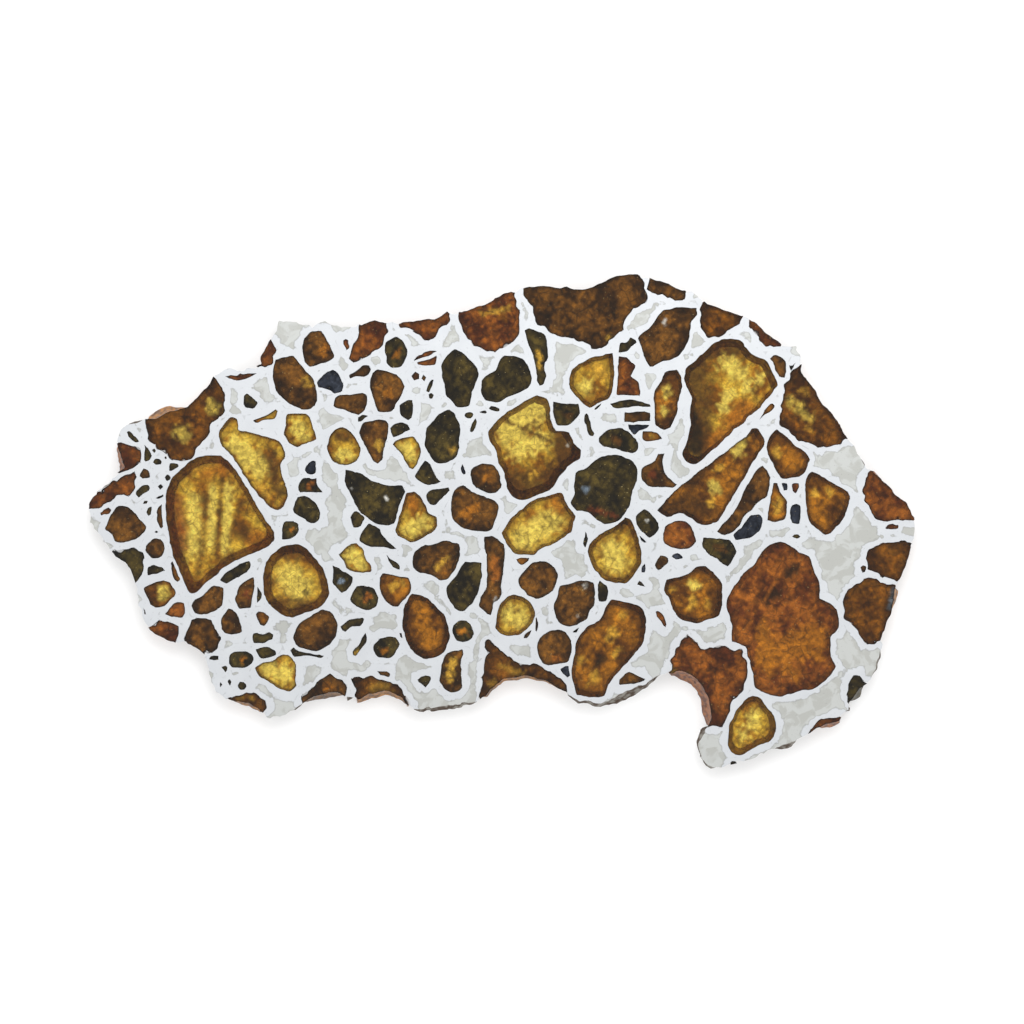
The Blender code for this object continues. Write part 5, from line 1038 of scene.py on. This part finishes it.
class Board:
    """Adds shader nodes to one new material, or to a world."""

    def __init__(self, name: str, blocks=None) -> None:
        self.block = (bpy.data.materials if blocks is None else blocks).new(name)
        self.block.use_nodes = True
        self.tree = self.block.node_tree
        self.tree.nodes.clear()

    def add(self, kind: str, inputs: dict | None = None, **settings):
        """Add a node.

        Args:
            kind: The node's type.
            inputs: Values or sockets for its inputs, by name or number.
            settings: The node's own settings.

        Returns:
            The node.
        """
        node = self.tree.nodes.new(kind)
        for name, value in settings.items():
            setattr(node, name, value)
        for name, value in (inputs or {}).items():
            if isinstance(value, bpy.types.NodeSocket):
                self.tree.links.new(value, node.inputs[name])
            else:
                node.inputs[name].default_value = value
        return node

    def math(self, operation: str, first, second=0.0, clamp: bool = False):
        """Add a Math node and return its output."""
        node = self.add("ShaderNodeMath", {0: first, 1: second}, operation=operation, use_clamp=clamp)
        return node.outputs[0]

    def step(self, value, low: float, high: float):
        """Rise smoothly from 0 to 1 between two values."""
        node = self.add(
            "ShaderNodeMapRange",
            {"Value": value, "From Min": low, "From Max": high}, interpolation_type="SMOOTHSTEP")
        return node.outputs["Result"]

    def mix(self, share, first, second):
        """Mix two colours and return the result."""
        node = self.add("ShaderNodeMix", data_type="RGBA")
        for at, value in ((0, share), (6, first), (7, second)):
            if isinstance(value, bpy.types.NodeSocket):
                self.tree.links.new(value, node.inputs[at])
            else:
                node.inputs[at].default_value = value
        return node.outputs[2]

    def noise(self, size: float, detail: float = 3.0, distortion: float = 0.0):
        """Noise whose features measure about the given millimetres, over the object's own axes."""
        place = self.add("ShaderNodeTexCoord").outputs["Object"]
        node = self.add("ShaderNodeTexNoise", {
            "Vector": place, "Scale": 1.0 / (size * MM), "Detail": detail, "Distortion": distortion})
        return node.outputs["Fac"]

    def cells(self, size: float) -> bpy.types.NodeSocket:
        """Distance to the edge of cells of about the given millimetres, as a share of their size."""
        place = self.add("ShaderNodeTexCoord").outputs["Object"]
        node = self.add(
            "ShaderNodeTexVoronoi", {"Vector": place, "Scale": 1.0 / (size * MM)},
            feature="DISTANCE_TO_EDGE")
        return node.outputs["Distance"]

    def facets(self, size: float) -> bpy.types.NodeSocket:
        """A number from 0 to 1 for each crooked cell of about the given millimetres."""
        place = self.add("ShaderNodeTexCoord").outputs["Object"]
        bend = self.add("ShaderNodeTexNoise", {"Vector": place, "Scale": 0.8 / (size * MM), "Detail": 2.0})
        push = self.add(
            "ShaderNodeVectorMath", {0: bend.outputs["Color"], "Scale": size * MM}, operation="SCALE")
        moved = self.add("ShaderNodeVectorMath", {0: place, 1: push.outputs[0]}, operation="ADD")
        node = self.add(
            "ShaderNodeTexVoronoi", {"Vector": moved.outputs[0], "Scale": 1.0 / (size * MM)},
            feature="SMOOTH_F1")
        node.inputs["Smoothness"].default_value = 0.25
        return self.add("ShaderNodeSeparateColor", {0: node.outputs["Color"]}).outputs[0]

    def attribute(self, name: str, output: str = "Fac"):
        """A mesh attribute."""
        return self.add("ShaderNodeAttribute", attribute_name=name).outputs[output]

    def finish(self, shader, volume=None):
        """Wire the surface, and the inside if there is one, to the output."""
        output = self.add("ShaderNodeOutputMaterial", {"Surface": shader.outputs[0]})
        if volume is not None:
            self.tree.links.new(volume.outputs[0], output.inputs["Volume"])
        return self.block


def rgba(code: str) -> tuple:
    """A hex code as a linear colour with full alpha."""
    return (*linear(code), 1.0)


def polished_metal() -> bpy.types.Material:
    """Polished iron-nickel: pale rims round the crystals, grey fields with darker outlines between."""
    board = Board("polished_iron_nickel")
    near = board.attribute("near")
    gap = board.attribute("gap")
    ragged = board.math("MULTIPLY", board.math("SUBTRACT", board.noise(2.2, 4.0, 0.4), 0.5), 2.6)
    reach = board.math("ADD", near, ragged)
    in_field = board.step(reach, 1.30, 1.42)
    band = board.math("SUBTRACT", 1.0, board.math(
        "DIVIDE", board.math("ABSOLUTE", board.math("SUBTRACT", reach, 1.36)), 0.14), clamp=True)
    patch = board.step(board.noise(2.6, 3.0, 1.0), 0.44, 0.56)
    field = board.mix(patch, rgba("C6C7C2"), rgba("D4D6D3"))
    tint = board.mix(board.noise(3.0, 2.0), rgba("DADDE1"), rgba("E8EBEE"))
    colour = board.mix(in_field, tint, field)
    colour = board.mix(board.math("MULTIPLY", band, 0.55), colour, rgba("9C9C98"))
    vein = board.math("SUBTRACT", 1.0, board.step(board.math(
        "ADD", gap, board.math("MULTIPLY", ragged, 0.12)), 0.04, 0.20))
    vein = board.math("MULTIPLY", vein, board.math("SUBTRACT", 1.0, board.step(near, 1.2, 1.5)))
    colour = board.mix(board.math("MULTIPLY", vein, 0.35), colour, rgba("A2A4A4"))
    speck = board.step(board.noise(0.35, 2.0), 0.66, 0.74)
    colour = board.mix(board.math("MULTIPLY", speck, 0.35), colour, rgba("8C8E8E"))
    place = board.add("ShaderNodeTexCoord").outputs["Object"]
    stretch = board.add(
        "ShaderNodeMapping", {"Vector": place, "Rotation": (0, 0, 0.35), "Scale": (220, 9000, 1)})
    lines = board.add("ShaderNodeTexNoise", {"Vector": stretch.outputs[0], "Scale": 1.0, "Detail": 2.0})
    bump = board.add("ShaderNodeBump", {"Height": lines.outputs["Fac"], "Strength": 0.06, "Distance": 0.00002})
    shader = board.add("ShaderNodeBsdfPrincipled", {
        "Base Color": colour, "Metallic": 1.0, "Roughness": 0.4, "Normal": bump.outputs[0]})
    return board.finish(shader)


def broken_metal() -> bpy.types.Material:
    """The weathered metal of the broken rim and of the pocket walls: brown iron oxide over grey."""
    board = Board("weathered_iron_flank")
    stain = board.step(board.noise(1.2, 4.0), 0.42, 0.62)
    colour = board.mix(stain, rgba("4A3A2C"), rgba("8C8880"))
    shader = board.add("ShaderNodeBsdfPrincipled", {
        "Base Color": colour, "Metallic": 0.4, "Roughness": 0.7})
    return board.finish(shader)


def crystal_face(kind: Kind) -> bpy.types.Material:
    """Polished crystal, see-through as far as its kind is, with stains, fine cracks and painted glints."""
    finish = FINISHES[kind]
    board = Board(f"polished_{kind.value}")
    tone = board.attribute("tone", "Color")
    cloud = board.noise(0.9, 5.0, 0.6)
    facet = board.facets(0.75)
    light = board.math("ADD", board.math("MULTIPLY", board.step(cloud, 0.34, 0.66), 0.62), 0.50)
    light = board.math("MULTIPLY", light, board.math("ADD", board.math("MULTIPLY", facet, 0.62), 0.72))
    factor = board.add("ShaderNodeCombineXYZ", {0: light, 1: light, 2: light})
    colour = board.add(
        "ShaderNodeVectorMath", {0: tone, 1: factor.outputs[0]}, operation="MULTIPLY").outputs[0]
    crack = board.math("SUBTRACT", 1.0, board.step(board.cells(1.7), 0.0, 0.10))
    crack = board.math("MULTIPLY", crack, board.step(board.noise(2.2, 2.0), 0.44, 0.58))
    # The cracks take the colour of the painted edge shade.
    colour = board.mix(board.math("MULTIPLY", crack, 0.6), colour, rgba(finish.edge_shade))
    # Painted glints: tiny pale specks where the light would catch the crystal.
    painted_glint = board.step(board.noise(0.3, 1.0), 0.72, 0.78)
    colour = board.mix(board.math("MULTIPLY", painted_glint, 0.4), colour, rgba("E8D090"))
    shader = board.add("ShaderNodeBsdfPrincipled", {
        "Base Color": colour, "Roughness": 0.08, "IOR": 1.67,
        "Transmission Weight": finish.clearness,
        "Metallic": 0.7 if kind is Kind.TROILITE else 0.0})
    volume = None
    if finish.density > 0.0:
        volume = board.add("ShaderNodeVolumeAbsorption", {
            "Color": rgba("F2D060"), "Density": finish.density})
    return board.finish(shader, volume)


def crystal_flank(kind: Kind) -> bpy.types.Material:
    """The crystal's stained and broken side."""
    finish = FINISHES[kind]
    board = Board(f"flank_{kind.value}")
    cloud = board.step(board.noise(0.8, 4.0), 0.35, 0.65)
    colour = board.mix(cloud, rgba(finish.deep), rgba(finish.light))
    shader = board.add("ShaderNodeBsdfPrincipled", {
        "Base Color": colour, "Roughness": 0.45, "IOR": 1.67,
        "Transmission Weight": min(finish.clearness, 0.4)})
    return board.finish(shader)


class Painter:
    """Works out the colour of a crystal at each of its corners."""

    def __init__(self) -> None:
        self.cloud = Waves(31, 4.6)
        self.mottle = Waves(32, 1.5)
        self.fine = Waves(33, 0.8)

    def tone(self, source: np.ndarray, kind: Kind, ring: Ring, marks: tuple) -> np.ndarray:
        """The colour at each corner.

        The kind's light and deep colours are mixed by two sizes of noise, each mark is laid over
        them with a soft, slightly ragged border, and painted shade darkens a thin band along the edge.

        Args:
            source: Places on the polished face.
            kind: What the crystal is made of.
            ring: The crystal's outline.
            marks: Its marks.

        Returns:
            One linear colour a row.
        """
        finish = FINISHES[kind]
        mottle = self.mottle.at(source)
        fine = self.fine.at(source)
        share = smooth_step(self.cloud.at(source) * 0.5 + mottle * 0.35 + fine * 0.15, -0.9, 0.9)
        colour = linear(finish.light) * (1 - share[:, None]) + linear(finish.deep) * share[:, None]
        for x0, y0, x1, y1, width, tone in marks:
            start = np.array([x0, y0])
            along = np.array([x1, y1]) - start
            place = np.clip((source - start) @ along / (along @ along + 1e-9), 0, 1)
            gap = np.linalg.norm(source - start - place[:, None] * along, axis=1)
            ragged = gap + mottle * (0.08 + 0.2 * min(width, 1.5)) + fine * 0.08
            cover = 0.88 - 0.88 * smooth_step(ragged, width * 0.45, width * 1.35)
            colour = colour * (1 - cover[:, None]) + linear(tone.value) * cover[:, None]
        # Painted shade: a dark band along the edge, where the sloping side would cut off the light from below.
        depth = -RingField([ring]).at(source)[:, 0]
        edge_shade_width = {Kind.CLEAR: 0.75, Kind.AMBER: 0.9}.get(kind, 0.5)
        edge_shade = 1.0 - smooth_step(depth + mottle * 0.25, 0.0, edge_shade_width)
        edge_shade = np.maximum(edge_shade * 0.5, 1.0 - smooth_step(depth, 0.0, 0.22))
        colour = colour * (1 - edge_shade[:, None]) + linear(finish.edge_shade) * edge_shade[:, None]
        return np.clip(colour, 0.0, 1.0)


def make_object(name: str, slab: Slab, materials: list) -> bpy.types.Object:
    """Turn a slab into an object whose place is in its mesh."""
    mesh = bpy.data.meshes.new(name)
    mesh.from_pydata((slab.places * MM).tolist(), [], slab.faces)
    for material in materials:
        mesh.materials.append(material)
    mesh.polygons.foreach_set("material_index", slab.flank.astype(np.int32))
    mesh.update()
    made = bpy.data.objects.new(name, mesh)
    bpy.context.scene.collection.objects.link(made)
    return made


def set_colour(thing: bpy.types.Object, name: str, colour: np.ndarray) -> None:
    """Store one linear colour a corner."""
    layer = thing.data.color_attributes.new(name, "FLOAT_COLOR", "POINT")
    full = np.hstack([colour, np.ones((len(colour), 1))])
    layer.data.foreach_set("color", full.astype(np.float32).ravel())


def set_value(thing: bpy.types.Object, name: str, value: np.ndarray) -> None:
    """Store one number a corner."""
    layer = thing.data.attributes.new(name, "FLOAT", "POINT")
    layer.data.foreach_set("value", value.astype(np.float32))


class Slice:
    """The whole slice, drawn again in fine meshes over the frame."""

    def __init__(self) -> None:
        low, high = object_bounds()
        self.low = np.array(low[:2]) / MM
        self.high = np.array(high[:2]) / MM
        self.thickness = high[2] / MM
        self.maker = SlabMaker(self.thickness, self.low, self.high)
        self.painter = Painter()
        slots = {row["node"]: row["material_slot"] for row in frame["record"]["subparts"]}
        self.kinds = {
            name: Kind(slots[name]) for name in frame["nodes"] if slots[name] != "iron_nickel"}
        self.faces = {kind: crystal_face(kind) for kind in Kind}
        self.flanks = {kind: crystal_flank(kind) for kind in Kind}

    def build(self) -> None:
        """Build every piece."""
        web = sorted(
            read_rings(frame["nodes"]["iron_web"], self.thickness), key=lambda ring: -abs(ring.area()))
        outer, pockets = web[0].counter_clockwise(), [ring.counter_clockwise() for ring in web[1:]]
        crystals = {
            name: max(read_rings(frame["nodes"][name], self.thickness), key=Ring.area)
            for name in self.kinds}
        small = self.settled([grain.outline for grain in GRAINS], outer, pockets, list(crystals.values()))
        self.wobble = Wobble(outer.smoothed(EDGE_STEP))
        self.outer = self.wobble.moved(outer.smoothed(EDGE_STEP))
        LOG.info("outlines: %d pockets, %d small crystals", len(pockets), len(small))
        fitted = self.fitted(crystals, pockets)
        fine_small = [self.wobble.moved(ring.smoothed(EDGE_STEP)) for ring in small]
        self.build_web(pockets, small, fine_small, list(crystals.values()))
        for name, (ring, at_rim) in fitted.items():
            self.build_crystal(name, ring, at_rim)
        self.build_small(fine_small)

    def settled(
            self, outlines: list[tuple], outer: Ring, pockets: list[Ring],
            crystals: list[Ring]) -> list[Ring]:
        """Draw in the small outlines where they come too near the large ones or each other.

        Each corner that is nearer than the wall to another outline, or inside it, is drawn
        towards its own outline's middle by what is missing, over several rounds.

        Args:
            outlines: The corners of each small crystal.
            outer: The web's outer ring.
            pockets: The pockets of the large crystals.
            crystals: The outlines of the large crystals.

        Returns:
            One ring for each small crystal.
        """
        rings = []
        for outline in outlines:
            places = np.array(outline, float)
            rings.append(Ring(places, (places.mean(axis=0) - places) * 0.05).counter_clockwise())
        owner = np.repeat(np.arange(len(rings)), [len(ring.places) for ring in rings])
        fixed = RingField(pockets + crystals)
        edge = RingField([outer])
        for _ in range(16):
            places = np.concatenate([ring.places for ring in rings])
            middle = np.array([ring.places.mean(axis=0) for ring in rings])[owner]
            among = RingField(rings).at(places)
            among[np.arange(len(places)), owner] = np.inf
            nearest = np.minimum(fixed.at(places).min(axis=1), among.min(axis=1))
            nearest = np.minimum(nearest, -edge.at(places)[:, 0])
            lack = np.clip(SMALL_WALL - nearest, 0.0, 0.8)
            if lack.max() < 0.02:
                break
            inward = middle - places
            inward /= np.linalg.norm(inward, axis=1, keepdims=True) + 1e-9
            places = places + inward * (lack * 0.6)[:, None]
            starts = np.cumsum([0] + [len(ring.places) for ring in rings[:-1]])
            rings = [
                Ring(places[start:start + len(ring.places)], ring.shift)
                for start, ring in zip(starts, rings)]
        return rings

    def fitted(self, crystals: dict[str, Ring], pockets: list[Ring]) -> dict[str, tuple[Ring, bool]]:
        """Match each crystal to its pocket, and grow it until only a skin of air is left.

        Args:
            crystals: The outline of each large crystal, by node.
            pockets: The pockets in the web.

        Returns:
            For each node its fine outline, and whether the rim cuts it.
        """
        centres = np.array([ring.places.mean(axis=0) for ring in pockets])
        fitted = {}
        for name, ring in crystals.items():
            gap = np.linalg.norm(centres - ring.places.mean(axis=0), axis=1)
            pocket = pockets[int(gap.argmin())]
            inside = gap.min() < 1.0 and abs(pocket.area() - ring.area()) < ring.area() * 0.6
            if inside and "_rim_" not in name:
                fine = self.wobble.moved(pocket.smoothed(EDGE_STEP)).grown(-SKIN_GAP)
                fitted[name] = (fine, False)
                continue
            fine = self.wobble.moved(ring.smoothed(EDGE_STEP))
            metal = RingField([self.outer])
            beside = np.abs(metal.at(fine.places)[:, 0])
            ahead = np.abs(metal.at(fine.grown(CAD_SEAM / 2).places)[:, 0])
            facing = (beside < CAD_SEAM + 0.12) & (ahead < beside - CAD_SEAM / 4)
            room = np.where(facing, beside - SKIN_GAP, 0.0)
            fitted[name] = (fine.grown(np.clip(room, 0.0, CAD_SEAM)), True)
        return fitted

    def build_web(
            self, pockets: list[Ring], small: list[Ring], fine_small: list[Ring],
            crystals: list[Ring]) -> None:
        """Build the iron-nickel web, with its distances to the nearest two crystals.

        Args:
            pockets: The pockets of the large crystals.
            small: The outlines of the small crystals.
            fine_small: The same, smoothed.
            crystals: The outlines of the large crystals.
        """
        holes = [self.wobble.moved(ring.smoothed(EDGE_STEP)) for ring in pockets] + fine_small
        rings = [self.outer] + holes
        inner = self.maker.lattice([self.outer] + pockets + small, WEB_LATTICE, 0.42)
        slab = self.maker.build(rings, inner, True)
        web = make_object("iron_web_fine", slab, [polished_metal(), broken_metal()])
        field = np.sort(RingField(crystals + small).at(slab.source), axis=1)
        set_value(web, "near", np.maximum(field[:, 0], 0.0))
        set_value(web, "gap", field[:, 1] - field[:, 0])
        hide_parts("iron_web")
        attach(web, "root")
        LOG.info("web: %d corners", len(slab.places))

    def crystal_slab(self, ring: Ring, step: float, broken: bool) -> Slab:
        """A crystal's closed mesh, with a ring of corners just inside its edge for the painted edge shade."""
        inner = self.maker.lattice([ring], step, 0.34)
        line = ring.grown(-0.22).places
        depth = -RingField([ring]).at(line)[:, 0]
        inner = np.concatenate([inner, line[depth > 0.17][::1]])
        return self.maker.build([ring], inner, broken)

    def build_crystal(self, name: str, ring: Ring, at_rim: bool) -> None:
        """Build one large crystal in its node's place."""
        kind = self.kinds[name]
        slab = self.crystal_slab(ring, CRYSTAL_LATTICE, at_rim)
        made = make_object(name + "_fine", slab, [self.faces[kind], self.flanks[kind]])
        set_colour(made, "tone", self.painter.tone(slab.source, kind, ring, MARKS.get(name, ())))
        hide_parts(name)
        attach(made, "root")

    def build_small(self, rings: list[Ring]) -> None:
        """Build the small crystals, all of one kind as one piece."""
        for kind in Kind:
            slabs = []
            tones = []
            for grain, ring in zip(GRAINS, rings):
                if grain.kind is not kind:
                    continue
                fitted = ring.grown(-SKIN_GAP)
                slab = self.crystal_slab(fitted, SMALL_LATTICE, False)
                slabs.append(slab)
                tones.append(self.painter.tone(slab.source, kind, fitted, grain.marks))
            made = make_object(
                "small_" + kind.value, joined(slabs), [self.faces[kind], self.flanks[kind]])
            set_colour(made, "tone", np.concatenate(tones))
            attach(made, "root")


class Studio:
    """A white table, a light card under the slice, soft light and the camera straight above."""

    VIEW_WIDTH = 0.16384
    CENTRE = (0.00168, 0.00184)
    LENS = 135.0
    CARD_STEP = 0.5
    CARD_MARGIN = 0.5
    CARD_DEPTH = -0.1

    def light_card(self, outline: Ring) -> None:
        """Lay a glowing card under the slice, a little smaller than it, to light the crystals.

        It is a grid of squares, of which those inside the outline are kept.

        Args:
            outline: The slice's outline.
        """
        low = outline.places.min(axis=0)
        high = outline.places.max(axis=0)
        columns = np.arange(low[0], high[0], self.CARD_STEP)
        rows = np.arange(low[1], high[1], self.CARD_STEP)
        x, y = np.meshgrid(columns, rows)
        places = np.stack([x.ravel(), y.ravel(), np.full(x.size, self.CARD_DEPTH)], axis=1)
        gap = RingField([outline]).at(places[:, :2])[:, 0]
        inside = (gap < -self.CARD_MARGIN).reshape(x.shape)
        row, column = np.nonzero(inside[:-1, :-1] & inside[1:, :-1] & inside[:-1, 1:] & inside[1:, 1:])
        first = row * len(columns) + column
        across = len(columns)
        faces = np.stack([first, first + 1, first + 1 + across, first + across], axis=1)
        used, faces = np.unique(faces, return_inverse=True)
        mesh = bpy.data.meshes.new("light_card")
        mesh.from_pydata((places[used] * MM).tolist(), [], faces.reshape(-1, 4).tolist())
        card = bpy.data.objects.new("light_card", mesh)
        bpy.context.scene.collection.objects.link(card)
        board = Board("glowing_card")
        glow = board.add("ShaderNodeEmission", {"Color": (1.0, 1.0, 1.0, 1.0), "Strength": 1.08})
        mesh.materials.append(board.finish(glow))
        mesh.materials[0].cycles.emission_sampling = "NONE"
        card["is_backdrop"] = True

    def sky(self) -> None:
        """Light from all round, dim straight above, where a real camera stands in its way."""
        board = Board("studio", bpy.data.worlds)
        place = board.add("ShaderNodeTexCoord").outputs["Generated"]
        height = board.add("ShaderNodeSeparateXYZ", {0: place}).outputs["Z"]
        level = board.add("ShaderNodeMapRange", {
            "Value": height, "From Min": math.cos(math.radians(20.0)),
            "From Max": math.cos(math.radians(9.0)), "To Min": 1.15, "To Max": 0.3},
            interpolation_type="SMOOTHSTEP").outputs["Result"]
        light = board.add("ShaderNodeBackground", {"Color": (1.0, 1.0, 1.0, 1.0), "Strength": level})
        board.add("ShaderNodeOutputWorld", {"Surface": light.outputs[0]})
        bpy.context.scene.world = board.block

    def build(self, outline: Ring) -> None:
        """Build the floor, the lights and the camera.

        Args:
            outline: The slice's outline.
        """
        self.light_card(outline)
        self.sky()
        bpy.ops.mesh.primitive_plane_add(size=4.0, location=(0.0, 0.0, -0.00012))
        floor = bpy.context.object
        floor.name = "table_top"
        board = Board("white_table")
        shader = board.add("ShaderNodeBsdfPrincipled", {
            "Base Color": (0.55, 0.55, 0.55, 1.0), "Roughness": 1.0, "Specular IOR Level": 0.0,
            "Emission Color": (1.0, 1.0, 1.0, 1.0), "Emission Strength": 0.42})
        floor.data.materials.append(board.finish(shader))
        floor.data.materials[0].cycles.emission_sampling = "NONE"
        floor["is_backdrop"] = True
        lamp = bpy.data.lights.new("window_light", "AREA")
        lamp.shape = "DISK"
        lamp.size = 0.5
        lamp.energy = 2.2
        key = bpy.data.objects.new("window_light", lamp)
        key.location = (0.06, 0.42, 0.55)
        key.rotation_euler = (Vector((0, 0, 0)) - key.location).to_track_quat("-Z", "Y").to_euler()
        bpy.context.scene.collection.objects.link(key)
        lens = bpy.data.cameras.new("camera")
        lens.lens = self.LENS
        camera = bpy.data.objects.new("camera", lens)
        distance = self.VIEW_WIDTH * self.LENS / lens.sensor_width
        camera.location = (*self.CENTRE, distance + 0.0032)
        lens.clip_start = 0.01
        lens.clip_end = 20.0
        bpy.context.scene.collection.objects.link(camera)
        bpy.context.scene.camera = camera
        bpy.context.scene.view_settings.view_transform = "Standard"


def main() -> None:
    """Build the slice and the studio."""
    logging.basicConfig(level=logging.INFO)
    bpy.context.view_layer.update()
    piece = Slice()
    piece.build()
    Studio().build(piece.outer)


if __name__ == "__main__":
    main()
